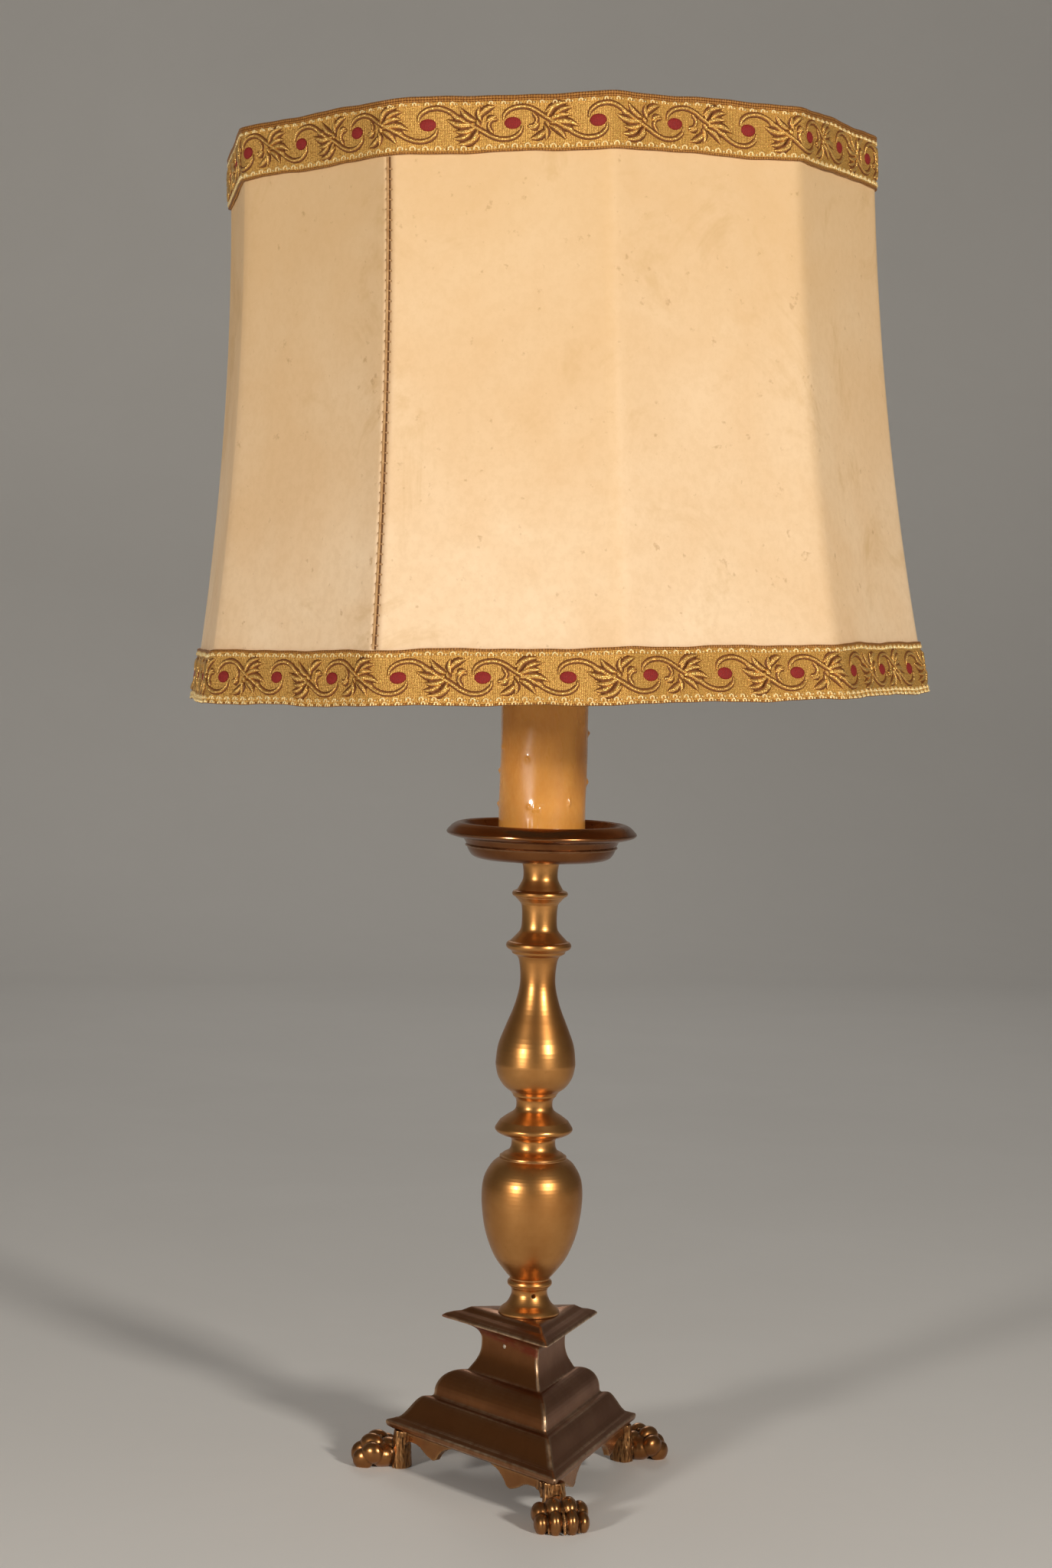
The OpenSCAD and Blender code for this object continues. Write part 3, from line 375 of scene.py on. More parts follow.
def linked(name, data):
    """An object of this mesh, light or camera, in the scene."""
    made = bpy.data.objects.new(name, data)
    bpy.context.scene.collection.objects.link(made)
    return made


def put(name, mesh, body, finish=None):
    """Makes the object of a finished mesh, riding on its body."""
    piece = linked(name, mesh)
    if finish is not None:
        mesh.materials.clear()
        mesh.materials.append(finish)
    mesh.shade_smooth()
    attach(piece, body)
    return piece


def grid_mesh(name, points, closed_u=False, closed_v=False):
    """Mesh of a grid of points [u][v]."""
    rows, columns = points.shape[:2]
    mesh = bpy.data.meshes.new(name)
    faces = []
    for i in range(rows if closed_u else rows - 1):
        for j in range(columns if closed_v else columns - 1):
            a, b = i, (i + 1) % rows
            c, d = j, (j + 1) % columns
            faces.append((a * columns + c, b * columns + c, b * columns + d, a * columns + d))
    mesh.from_pydata(points.reshape(-1, 3).tolist(), [], faces)
    return mesh


def face_outward(mesh, filled=False):
    """Turns all faces outward; open ends may be filled first."""
    work = bmesh.new()
    work.from_mesh(mesh)
    if filled:
        bmesh.ops.holes_fill(work, edges=[e for e in work.edges if e.is_boundary], sides=0)
        bmesh.ops.triangulate(work, faces=[f for f in work.faces if len(f.verts) > 4])
    bmesh.ops.recalc_face_normals(work, faces=work.faces)
    work.to_mesh(mesh)
    work.free()
    return mesh


def shaped(carrier):
    """The plain mesh that an object's modifiers give; the object itself goes."""
    bpy.context.view_layer.update()
    depsgraph = bpy.context.evaluated_depsgraph_get()
    mesh = bpy.data.meshes.new_from_object(carrier.evaluated_get(depsgraph))
    bpy.data.objects.remove(carrier)
    return mesh


def tube_grid(path, radius, sides=6, flat=1.0):
    """Points of a tube round a flat path [x, y]; flat squeezes its height."""
    path = np.asarray(path, float)
    step = np.gradient(path, axis=0)
    step /= np.linalg.norm(step, axis=1)[:, None]
    side = np.stack([-step[:, 1], step[:, 0]], axis=1)
    turn = np.arange(sides) / sides * tau
    across = path[:, None, :] + side[:, None, :] * (radius * np.cos(turn))[None, :, None]
    up = np.broadcast_to(radius * flat * np.sin(turn), across.shape[:2])
    return np.concatenate([across, up[..., None]], axis=2)


def joined(name, grids):
    """One mesh from several tubes, each closed round itself and capped."""
    vertices, faces = [], []
    for grid in grids:
        rows, columns = grid.shape[:2]
        start = len(vertices)
        vertices.extend(grid.reshape(-1, 3).tolist())
        for i in range(rows - 1):
            for j in range(columns):
                k = (j + 1) % columns
                faces.append((start + i * columns + j, start + i * columns + k,
                              start + (i + 1) * columns + k, start + (i + 1) * columns + j))
        faces.append([start + j for j in reversed(range(columns))])
        faces.append([start + (rows - 1) * columns + j for j in range(columns)])
    mesh = bpy.data.meshes.new(name)
    mesh.from_pydata(vertices, [], faces)
    return mesh


def repeat_tree():
    """Copies of one motif on a straight line; every second one may be turned about."""
    tree = bpy.data.node_groups.new("repeat_motif", "GeometryNodeTree")
    for label, kind in (("Geometry", "NodeSocketGeometry"), ("Motif", "NodeSocketObject"),
                        ("Count", "NodeSocketInt"), ("Pitch", FLOAT), ("Start", FLOAT),
                        ("Turn", FLOAT), ("Material", "NodeSocketMaterial")):
        tree.interface.new_socket(label, in_out="INPUT", socket_type=kind)
    tree.interface.new_socket("Geometry", in_out="OUTPUT", socket_type="NodeSocketGeometry")
    graph = Graph(tree)
    source = graph.add("NodeGroupInput").outputs
    start = graph.add("ShaderNodeCombineXYZ", {0: source["Start"]}).outputs[0]
    pitch = graph.add("ShaderNodeCombineXYZ", {0: source["Pitch"]}).outputs[0]
    line = graph.add("GeometryNodeMeshLine", {"Count": source["Count"], "Start Location": start,
                                              "Offset": pitch}, mode="OFFSET")
    motif = graph.add("GeometryNodeObjectInfo", {"Object": source["Motif"]})
    index = graph.add("GeometryNodeInputIndex").outputs[0]
    angle = graph.times(graph.math("MODULO", index, 2.0), source["Turn"])
    turn = graph.add("ShaderNodeCombineXYZ", {2: angle}).outputs[0]
    spread = graph.add("GeometryNodeInstanceOnPoints", {"Points": line.outputs[0],
                                                        "Instance": motif.outputs["Geometry"],
                                                        "Rotation": turn})
    real = graph.add("GeometryNodeRealizeInstances", {0: spread.outputs[0]})
    painted = graph.add("GeometryNodeSetMaterial", {0: real.outputs[0], "Material": source["Material"]})
    sink = graph.add("NodeGroupOutput")
    tree.links.new(painted.outputs[0], sink.inputs[0])
    return tree


REPEAT = repeat_tree()


def repeated(motif_mesh, finish, count, pitch, start, turn=0.0):
    """Plain mesh of a row of one motif."""
    motif = linked("motif", motif_mesh)
    row = linked("row", bpy.data.meshes.new("row"))
    modifier = row.modifiers.new("row", "NODES")
    modifier.node_group = REPEAT
    values = {"Motif": motif, "Count": count, "Pitch": pitch, "Start": start, "Turn": turn}
    values["Material"] = finish
    for item in REPEAT.interface.items_tree:
        if item.item_type == "SOCKET" and item.in_out == "INPUT" and item.name in values:
            modifier[item.identifier] = values[item.name]
    mesh = shaped(row)
    bpy.data.objects.remove(motif)
    return mesh


def vertex_rows(mesh, label="co"):
    """Places of the vertices, or with the label "normal" their normals, one row each."""
    rows = np.empty(len(mesh.vertices) * 3)
    mesh.vertices.foreach_get(label, rows)
    return rows.reshape(-1, 3)


def move_to(mesh, points):
    mesh.vertices.foreach_set("co", points.ravel())
    mesh.update()


def flat_uv(mesh):
    """UV map in metres from the flat mesh's own x and y."""
    points = vertex_rows(mesh)
    loops = np.empty(len(mesh.loops), int)
    mesh.loops.foreach_get("vertex_index", loops)
    layer = mesh.uv_layers.get("map") or mesh.uv_layers.new(name="map")
    layer.data.foreach_set("uv", points[loops][:, :2].ravel())


# Woven braid: drawn flat, x along the braid, y up, z off the skin, and then wrapped. The vine's
# curves and leaves are in millimetres from the middle between two dots.

BEAD_PITCH = 5.8 * MM
DOT_SIZE = (3.9 * MM, 2.8 * MM, 0.7 * MM)
END_ROOM = 6 * MM
SCROLL = [(-23.6, 1.3), (-22.8, 4.2), (-19.4, 6.7), (-14.3, 7.3), (-9.6, 5.8), (-5.0, 2.8), (0.0, 0.0)]
CURL = [(12.6, 1.9), (9.8, 1.4), (8.4, -1.4), (10.4, -4.6)]
CORD_R = 0.66 * MM
CURL_R = 0.5 * MM
# Base, tip and width of each leaf lobe
LOBES = [
    ((4.4, -4.6), (-6.5, -8.6), 2.2), ((0.4, -3.6), (-8.0, -6.2), 1.9), ((2.6, -1.3), (-7.6, -2.8), 2.3),
    ((2.2, 0.2), (-11.2, 2.5), 2.6), ((-3.0, 2.4), (-8.8, 5.2), 1.8), ((2.4, 1.4), (-4.8, 8.2), 2.1),
    ((4.4, -0.6), (3.0, 2.4), 1.7), ((7.6, 0.6), (12.2, 3.0), 2.0), ((4.2, 3.6), (12.0, 7.8), 2.4),
    ((4.8, 1.5), (4.6, 8.4), 1.8), ((3.6, -2.6), (-1.2, -8.2), 1.9),
]


def smooth_path(points, count):
    """Catmull-Rom curve through points, in metres."""
    points = np.array(points) * MM
    padded = np.vstack([2 * points[0] - points[1], points, 2 * points[-1] - points[-2]])
    out = []
    for share in np.linspace(0, len(points) - 1, count):
        k = min(int(share), len(points) - 2)
        t = share - k
        a, b, c, d = padded[k:k + 4]
        out.append(0.5 * (2 * b + (c - a) * t + (2 * a - 5 * b + 4 * c - d) * t ** 2
                          + (3 * b - a - 3 * c + d) * t ** 3))
    return np.array(out)


def cord_grids(points, radius, flat):
    """A cord along a curve, thinner towards its ends."""
    count = 44
    path = smooth_path(points, count)
    taper = np.clip(np.minimum(np.arange(count), np.arange(count)[::-1]) / 7 + 0.35, 0, 1)
    centre = np.concatenate([path, np.zeros((count, 1))], axis=1)[:, None, :]
    return [centre + (tube_grid(path, radius, 8, flat) - centre) * taper[:, None, None]]


def vine_cords(extra, flat):
    """The S-shaped vine between two dots, and the small curl that springs from it."""
    whole = SCROLL + [(-x, -y) for x, y in reversed(SCROLL[:-1])]
    return cord_grids(whole, CORD_R + extra, flat) + cord_grids(CURL, CURL_R + extra, flat)


def lobe_grid(base, tip, width, height):
    """A pointed leaf lobe with a raised back, from base to tip."""
    base, tip = np.array(base) * MM, np.array(tip) * MM
    way = tip - base
    side = np.array([-way[1], way[0]]) / np.linalg.norm(way)
    shares = np.array([0.0, 0.18, 0.42, 0.66, 0.86, 1.0])
    swell = np.array([0.45, 0.85, 1.0, 0.8, 0.42, 0.05])
    bend = np.sin(shares * pi) * 0.12 * np.linalg.norm(way)
    turn = np.arange(6) / 6 * tau
    rows = []
    for share, size, off in zip(shares, swell, bend):
        centre = base + way * share + side * off
        across = np.cos(turn) * width * MM / 2 * size
        up = np.sin(turn) * height * size
        rows.append(np.column_stack([centre + side * across[:, None], up]))
    return np.array(rows)


def vine_mesh():
    """Gold vine with its leaves, raised like couched thread."""
    grids = vine_cords(0, 1.45)
    grids += [lobe_grid(base, tip, width, 1.1 * MM) for base, tip, width in LOBES]
    return joined("vine", grids)


def outline_and_shade_mesh():
    """Brown threads under the vine and its leaves: partly the braid's own dark outline, partly painted shade
    in the valleys beside the raised thread.
    """
    grids = vine_cords(0.75 * MM, 0.4)
    grids += [lobe_grid(base, tip, width + 2.3, 0.55 * MM) for base, tip, width in LOBES]
    return joined("outline", grids)


def bead_mesh(size):
    """One loop of gold wire and the small knot that follows it."""
    loop = [(-1.15, -0.85), (-1.05, 0.35), (0.0, 0.95), (1.05, 0.35), (1.15, -0.85)]
    loop = smooth_path(loop, 14) * size
    knot = smooth_path([(2.5, -0.3), (2.9, -0.3), (3.3, -0.3)], 6) * size
    return joined("bead", [tube_grid(loop, 0.42 * MM, 6, 1.5), tube_grid(knot, 0.5 * MM, 6, 1.5)])


def ball_mesh(name, size, rings):
    mesh = bpy.data.meshes.new(name)
    work = bmesh.new()
    bmesh.ops.create_uvsphere(work, u_segments=16, v_segments=2 * rings, radius=1.0)
    bmesh.ops.scale(work, vec=size, verts=work.verts)
    work.to_mesh(mesh)
    work.free()
    return mesh


def wrap(mesh, z_mid, side, off):
    """Bends a flat braid mesh round the shade, where x = 0 lies at the front corner."""
    flat_uv(mesh)
    points = vertex_rows(mesh)
    x = points[:, 0] / MM
    slack = 0.25 * np.sin(x / 19) + 0.2 * np.sin(x / 7.3 + 1) + 0.1 * np.sin(x / 3.1)
    rise = z_mid + points[:, 1] * (1 + 0.02 * np.sin(x / 11 + 2)) + slack * MM
    move_to(mesh, skin_point(points[:, 0] / side, rise, off + points[:, 2], BRAID_ROUNDING))


def ground_mesh(name, length):
    """Strip of woven ground with rolled edges, closed on all sides."""
    steps = int(length / (1.6 * MM))
    along = np.linspace(0, length, steps)
    profile = [(-0.5, 0.0), (-0.5, 0.55), (-0.485, 1.0), (-0.40, 1.0), (-0.2, 1.0), (0.0, 1.0), (0.2, 1.0),
               (0.40, 1.0), (0.485, 1.0), (0.5, 0.55), (0.5, 0.0), (0.0, 0.0)]
    rows = [[(x, y * BRAID_W, z * BRAID_T) for y, z in profile] for x in along]
    return joined(name, [np.array(rows)])


def braid_band(node, z_mid, dot_pitch, dot_phase, bead_rows, piping_rows):
    """All pieces of one woven band; dot_phase is how far a dot stands from the front corner."""
    side = 2 * corner_r(z_mid) * sin(HALF_SIDE)
    start = (BACK_SEAM - SIDES) * side
    length = SIDES * side
    first_dot = dot_phase + dot_pitch * int((start - dot_phase) / dot_pitch)
    count = int((length + start - first_dot - END_ROOM) / dot_pitch)
    ground = ground_mesh(node + "_ground", length)
    ground.transform(Matrix.Translation((start, 0, 0)))
    ground.materials.append(gold_weave)
    made = {"ground": ground}
    middle = first_dot + dot_pitch / 2
    # The brown layer under the vine is partly the braid's own outline and partly painted shade in its
    # valleys.
    motifs = (("outline", outline_and_shade_mesh(), brown_thread_and_shade), ("vine", vine_mesh(), gold_thread))
    for label, motif, finish in motifs:
        motif.transform(Matrix.Rotation(pi, 4, "Z"))
        made[label] = repeated(motif, finish, count - 1, dot_pitch, middle, pi)
    made["dots"] = repeated(ball_mesh("dot", DOT_SIZE, 3), red_thread, count, dot_pitch, first_dot)
    bead_count = int(length / BEAD_PITCH) - 1
    for k, (y, size) in enumerate(bead_rows):
        bead = bead_mesh(size)
        bead.transform(Matrix.Translation((0, y * MM, 0)))
        made[f"beads_{k}"] = repeated(bead, bead_thread, bead_count, BEAD_PITCH, start + (2 + k) * MM)
    steps = int(length / (2 * MM))
    along = np.linspace(start + 0.2 * MM, start + length - 0.2 * MM, steps)
    edges = []
    for y, radius in piping_rows:
        line = np.column_stack([along, np.full(steps, y * MM)])
        edges.append(tube_grid(line, radius * MM, 6, 0.9))
    piping = joined(node + "_piping", edges)
    piping.materials.append(piping_thread)
    made["piping"] = piping
    above = {"ground": 0.1 - BRAID_T / MM, "outline": 0.05, "vine": 0.3, "dots": 0.1, "piping": 0.0}
    for label, mesh in made.items():
        wrap(mesh, z_mid, side, BRAID_T + above.get(label, 0.2) * MM)
        piece = put(f"{node}_{label}", mesh, "shade")
        if label == "ground":
            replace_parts(piece, node)


# Parchment: ten curved panels in two halves

def parchment_half(name, first, node):
    """Half of the skin: five panels with slight waves, thick enough to be a real sheet."""
    per_side, levels = 26, 70
    around = np.linspace(first, first + SIDES / 2, SIDES // 2 * per_side + 1)
    around[0] += 0.2 * MM
    around[-1] -= 0.2 * MM
    z = np.linspace(SHADE_Z + 0.3 * MM, SHADE_TOP_Z - 0.3 * MM, levels)
    a, h = np.meshgrid(around, z, indexing="ij")
    share = a - np.floor(a)
    swell = np.sin(share * pi) ** 2
    wave = 0.25 * MM * np.sin(h * 31 + a * 2.1) + 0.2 * MM * np.sin(h * 57 - a * 5.3)
    outer = skin_point(a, h, swell * wave, SKIN_ROUNDING)
    inner = skin_point(a, h, swell * wave - SKIN_T, SKIN_ROUNDING)
    loop = np.concatenate([outer, inner[:, ::-1]], axis=1)
    mesh = face_outward(grid_mesh(name, loop, closed_v=True), filled=True)
    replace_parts(put(name, mesh, "shade", parchment), node)


# Candle sleeve with its coat of wax

SLEEVE_R = 22 * MM
SLEEVE_WALL = 1.2 * MM
# Azimuth in degrees; height of the lower end, length, half width and thickness in millimetres
WAX_RUNS = [
    (-109, 350, 27, 3.4, 0.42), (-123, 372, 3, 0.8, 0.8), (-112, 347, 5, 1.2, 0.9), (-119, 348, 3, 0.9, 0.8),
    (-106, 347, 3, 0.8, 0.8), (-64, 350, 5, 0.8, 0.9), (-119, 328, 16, 1.0, 0.9), (-112, 325, 21, 1.1, 1.0),
    (-105, 331, 12, 0.9, 0.9), (-11, 385, 3, 1.0, 1.2), (-13, 360, 4, 1.1, 1.1), (-191, 365, 3, 1.0, 1.0),
    (-193, 348, 3, 1.0, 1.0), (-170, 377, 40, 2.6, 0.9), (-38, 389, 44, 2.4, 0.4), (20, 357, 36, 2.4, 0.9),
    (75, 382, 50, 2.8, 1.0), (130, 362, 34, 2.2, 0.9),
]


def candle_mesh():
    """Sleeve with an uneven coat of wax, and runs that end in a drip."""
    around, levels = 240, 331
    turn = np.arange(around) / around * tau
    low_end, high_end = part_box("candle_sleeve")
    z = np.linspace(low_end[2], high_end[2], levels)
    a, h = np.meshgrid(turn, z, indexing="ij")
    coat = 0.12 * MM * np.sin(5 * a + h * 90) + 0.08 * MM * np.sin(9 * a - h * 160) + 0.12 * MM
    for azimuth, foot, length, width, thick in WAX_RUNS:
        off = (a - radians(azimuth) + pi) % tau - pi
        across = np.exp(-((off * SLEEVE_R / MM) / width) ** 2)
        foot, length = foot * MM, length * MM
        body = np.clip((h - foot) / (2 * MM), 0, 1) * np.clip((foot + length - h) / (0.3 * length), 0, 1)
        drip = np.exp(-((h - foot - 1.5 * MM) / (1.6 * MM)) ** 2)
        coat = coat + thick * MM * across * (0.45 * body + 0.55 * drip)
    r = SLEEVE_R + coat
    outer = np.stack([r * np.cos(a), r * np.sin(a), h], axis=-1)
    bore = SLEEVE_R - SLEEVE_WALL
    inner = np.stack([bore * np.cos(a), bore * np.sin(a), h], axis=-1)[:, ::-30]
    loop = np.concatenate([outer, inner], axis=1)
    return face_outward(grid_mesh("candle_wax", loop, closed_u=True, closed_v=True))


# Bright arrises and pits: shares written on a mesh from how tightly its surface bends; the bright share is
# partly wear and partly painted highlight

def edge_bend(mesh):
    """Strongest outward and inward bend at each vertex, per metre."""
    points, normals = vertex_rows(mesh), vertex_rows(mesh, "normal")
    ends = np.empty(len(mesh.edges) * 2, int)
    mesh.edges.foreach_get("vertices", ends)
    a, b = ends.reshape(-1, 2).T
    way = points[b] - points[a]
    bend = ((normals[b] - normals[a]) * way).sum(axis=1) / np.maximum((way ** 2).sum(axis=1), 1e-12)
    outward, inward = np.zeros(len(points)), np.zeros(len(points))
    for end in (a, b):
        np.maximum.at(outward, end, bend)
        np.minimum.at(inward, end, bend)
    return outward, -inward, a, b


def spread_share(share, a, b, times):
    """Evens a share out over neighbouring vertices."""
    links = np.bincount(a, minlength=len(share)) + np.bincount(b, minlength=len(share))
    for _ in range(times):
        near = np.bincount(a, share[b], len(share)) + np.bincount(b, share[a], len(share))
        share = 0.4 * share + 0.6 * near / np.maximum(links, 1)
    return share


def mark_wear_and_highlight(mesh, outer_r, inner_r, times=0, extra_pit=0.0, crease_r=0.0):
    """The bright share (wear and painted highlight) and the pit share are 1 where the surface bends as
    tightly as their radius; creases may be pale.
    """
    outward, inward, a, b = edge_bend(mesh)
    wear = np.maximum(outward * outer_r, inward * crease_r)
    wear = spread_share(np.clip(wear, 0, 1) ** 1.5, a, b, times)
    pit = spread_share(np.clip(inward * inner_r, 0, 1) ** 1.5, a, b, times)
    for label, share in (("wear", wear), ("pit", np.clip(pit + extra_pit, 0, 1))):
        layer = mesh.attributes.new(label, "FLOAT", "POINT")
        layer.data.foreach_set("value", share)


LATTICE = np.random.default_rng(7).uniform(-1, 1, (64, 64, 64))


def rough_cast(points, size, depth):
    """Small uneven heights of a casting, as one number for each point: three octaves of smoothed noise."""
    total = np.zeros(len(points))
    for octave in range(3):
        at = points / size * 2 ** octave + 11.3 * octave
        cell = np.floor(at).astype(int)
        share = at - cell
        share = share * share * (3 - 2 * share)
        for corner in range(8):
            step = np.array([corner & 1, corner >> 1 & 1, corner >> 2 & 1])
            weight = np.prod(np.where(step, share, 1 - share), axis=1)
            total += LATTICE[tuple(((cell + step) % 64).T)] * weight / 2 ** octave
    return total * depth


# Plinth: three-sided mouldings with soft arrises, hollow below; corner radii and heights in millimetres

FOOT_H = 19.5
NOSE_R, NOSE_H, WAVE_R, WAVE_H = 78.3, 5.9, 56.7, 13.1
STEP_R, STEP_H, ROUND_R, ROUND_H = 51.5, 2.3, 34.0, 14.0
WAIST_R, WAIST_H, CAP_R, CAP_H, CROWN_H = 26.0, 26.4, 48.3, 4.4, 2.4
FLANGE_R = 15.7
PLINTH_WALL = 4.1
SCREW_AT = NOSE_R - 21.3
WAVE_Z = FOOT_H + NOSE_H
STEP_Z = WAVE_Z + WAVE_H
ROUND_Z = STEP_Z + STEP_H
WAIST_Z = ROUND_Z + ROUND_H
CAP_Z = WAIST_Z + WAIST_H
CROWN_Z = CAP_Z + CAP_H
PLINTH_Z = CROWN_Z + CROWN_H
PLUG_Z = WAIST_Z + 0.63 * WAIST_H
PLUG_ASIDE = -3.3
LEFT_FACE = radians(210)
ARRIS_R = 0.8


def plinth_outline():
    """Corner radius and height of the mouldings from the nosing up, in millimetres."""
    line = [(NOSE_R - 4.1, FOOT_H), (NOSE_R - 0.9, FOOT_H + 0.2 * NOSE_H), (NOSE_R, FOOT_H + 0.5 * NOSE_H),
            (NOSE_R - 0.4, FOOT_H + 0.7 * NOSE_H), (NOSE_R - 4.9, WAVE_Z - 0.3)]
    start = NOSE_R - 5.5
    for t in np.linspace(0, 1, 11):
        line.append((start + (WAVE_R - start) * t, WAVE_Z + WAVE_H * t * t * (3 - 2 * t)))
    line += [(WAVE_R - 3.2, STEP_Z + 0.15 * STEP_H), (STEP_R + 0.4, STEP_Z + 0.5 * STEP_H)]
    for turn in np.linspace(0, pi / 2, 11):
        line.append((ROUND_R + (STEP_R - ROUND_R) * cos(turn), ROUND_Z + ROUND_H * sin(turn)))
    waist = [(ROUND_R - 1, 0.02), (WAIST_R + 2.6, 0.24), (WAIST_R + 0.5, 0.42), (WAIST_R, 0.6),
             (WAIST_R + 0.8, 0.75), (WAIST_R + 4.4, 0.86), (CAP_R - 8, 0.966)]
    waist = smooth_path([(r, WAIST_Z + share * WAIST_H) for r, share in waist], 25) / MM
    line += [tuple(p) for p in waist]
    line += [(CAP_R - 0.2, CAP_Z), (CAP_R, CAP_Z + 0.2 * CAP_H), (CAP_R - 2.2, CAP_Z + 0.5 * CAP_H),
             (CAP_R - 6.4, CAP_Z + 0.8 * CAP_H), (CAP_R - 10.7, CROWN_Z), (2 * FLANGE_R + 1, PLINTH_Z)]
    return line


def soft_outline(line, cut, step):
    """The same line with every arris cut to a small curve, and points no further apart than step."""
    line = [np.array(p, float) for p in line]
    out = [line[0]]
    for before, here, after in zip(line, line[1:], line[2:]):
        back, on = before - here, after - here
        back *= min(cut / np.linalg.norm(back), 0.45)
        on *= min(cut / np.linalg.norm(on), 0.45)
        for t in (0, 0.25, 0.5, 0.75, 1):
            out.append(here + back * (1 - t) ** 2 + on * t ** 2)
    out.append(line[-1])
    dense = [out[0]]
    for p in out[1:]:
        parts = max(1, int(np.linalg.norm(p - dense[-1]) / step))
        start = dense[-1]
        dense += [start + (p - start) * (k + 1) / parts for k in range(parts)]
    return dense


def triangle_loop(corner, per_side=44, per_corner=8):
    """Points of a triangle with rounded corners; one corner points to the front."""
    rounding = min(ARRIS_R, corner / 5)
    half = (corner - 2 * rounding) * sin(pi / 3)
    points = []
    for side in range(3):
        face = radians(120 * side - 30)
        normal, along = np.array([cos(face), sin(face)]), np.array([-sin(face), cos(face)])
        for t in np.linspace(-1, 1, per_side):
            points.append(normal * corner / 2 + along * half * t)
        tip = face + pi / 3
        centre = (corner - 2 * rounding) * np.array([cos(tip), sin(tip)])
        for t in np.linspace(-1, 1, per_corner + 2)[1:-1]:
            turn = tip + t * pi / 3
            points.append(centre + rounding * np.array([cos(turn), sin(turn)]))
    return np.array(points)


def plinth_levels():
    """Loops of the plinth with their heights: up the outside, down the tube's bore and down the hollow."""
    outer = [(triangle_loop(r), z) for r, z in soft_outline(plinth_outline(), 0.55, 1.1)]
    tube_low, tube_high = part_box("centre_tube")
    bore = (tube_high[0] - tube_low[0]) / 2 / MM + 0.15
    wall = 2 * PLINTH_WALL
    around = outer[0][0]
    ring = around / np.linalg.norm(around, axis=1)[:, None] * bore
    hollow = [(WAIST_R - wall, CAP_Z), (WAIST_R - wall, WAIST_Z + 5), (ROUND_R + 1, WAIST_Z - 4),
              (STEP_R - wall, ROUND_Z), (WAVE_R - wall, STEP_Z - 3), (NOSE_R - 1.5 * wall, WAVE_Z - 1),
              (NOSE_R - 1.5 * wall, FOOT_H)]
    inner = []
    for r, z in hollow:
        loop = triangle_loop(r)
        reach = np.linalg.norm(loop, axis=1)
        bearing = np.arctan2(loop[:, 1], loop[:, 0]) + pi / 2
        off = (bearing + pi / 3) % (tau / 3) - pi / 3
        kept = np.minimum(reach, (SCREW_AT - 6) / np.cos(off))
        inner.append((loop * (kept / reach)[:, None], z))
    return outer + [(ring, PLINTH_Z), (ring, CAP_Z)] + inner


def plinth_mesh():
    """The casting, with a rough reddish band high on the left face of its waist."""
    grid = np.array([[(x * MM, y * MM, z * MM) for x, y in loop] for loop, z in plinth_levels()])
    mesh = face_outward(grid_mesh("plinth_cast", grid, closed_u=True, closed_v=True))
    points, normals = vertex_rows(mesh), vertex_rows(mesh, "normal")
    along = points @ np.array([-sin(LEFT_FACE), cos(LEFT_FACE), 0])
    level = (points[:, 2] / MM - WAIST_Z) / WAIST_H
    facing = normals @ np.array([cos(LEFT_FACE), sin(LEFT_FACE), 0])
    uneven = rough_cast(points, 2.2 * MM, 1.0)
    band = np.exp(-((level - 0.78 + 0.004 * along / MM) / 0.12) ** 4) * np.clip(facing * 2, 0, 1)
    band *= np.clip(0.9 + 0.9 * rough_cast(points * np.array([1, 1, 2.5]) + 0.05, 6 * MM, 1.0), 0, 1)
    height = 0.03 * rough_cast(points, 9 * MM, 1.0) + 0.16 * band * uneven
    move_to(mesh, points + normals * (height * MM)[:, None])
    # Pale arrises and creases here are partly wear and partly painted highlight.
    mark_wear_and_highlight(mesh, 0.7 * MM, 0, 0, band * 0.85, 0.5 * MM)
    return mesh


# Paws: balls and plates fused into one skin, drawn in millimetres with the toes towards +x

TOES = [
    ((83.2, 3.9, 10.6), (6.6, 4.4, 5.9)), ((88.8, 4.1, 5.2), (6.0, 3.7, 6.6)),
    ((80.6, 10.0, 7.9), (6.0, 4.3, 5.6)), ((85.6, 10.2, 4.2), (5.8, 3.7, 5.6)),
]
BODY = [
    ((78.0, 0.0, 6.0), (9.0, 11.5, 7.4)), ((75.0, 0.0, 4.6), (7.6, 5.8, 5.4)),
    ((75.5, 0.0, 9.0), (6.4, 5.4, 5.4)),
]
CORDS = [
    ([(80, 0, 14.2), (85, 0, 13.2), (89.6, 0, 9.6), (92.6, 0, 4.8), (93.4, 0, 0.4)], 0.85),
    ([(78, 7.2, 11.2), (83, 7.2, 10.2), (87.6, 7.3, 7.2), (90.2, 7.4, 3.6), (91.0, 7.4, 0.4)], 0.7),
]
ANKLE_AT = SCREW_AT + 10.5
ANKLE_R = 5.2
LUG_T = 3.0
WING_T, WING_L, WING_DROP = 3.0, 48.0, 10.0


def blob(work, centre, size, around=32, high=18):
    """Closed ellipsoid."""
    turn = np.arange(around) / around * tau
    rows = []
    for tip in np.linspace(-pi / 2, pi / 2, high + 1)[1:-1]:
        x = centre[0] + size[0] * cos(tip) * np.cos(turn)
        y = centre[1] + size[1] * cos(tip) * np.sin(turn)
        z = centre[2] + size[2] * sin(tip)
        rows.append([work.verts.new((a, b, z)) for a, b in zip(x, y)])
    for below, above in zip(rows, rows[1:]):
        for k in range(around):
            m = (k + 1) % around
            work.faces.new((below[k], below[m], above[m], above[k]))
    work.faces.new(rows[0][::-1])
    work.faces.new(rows[-1])


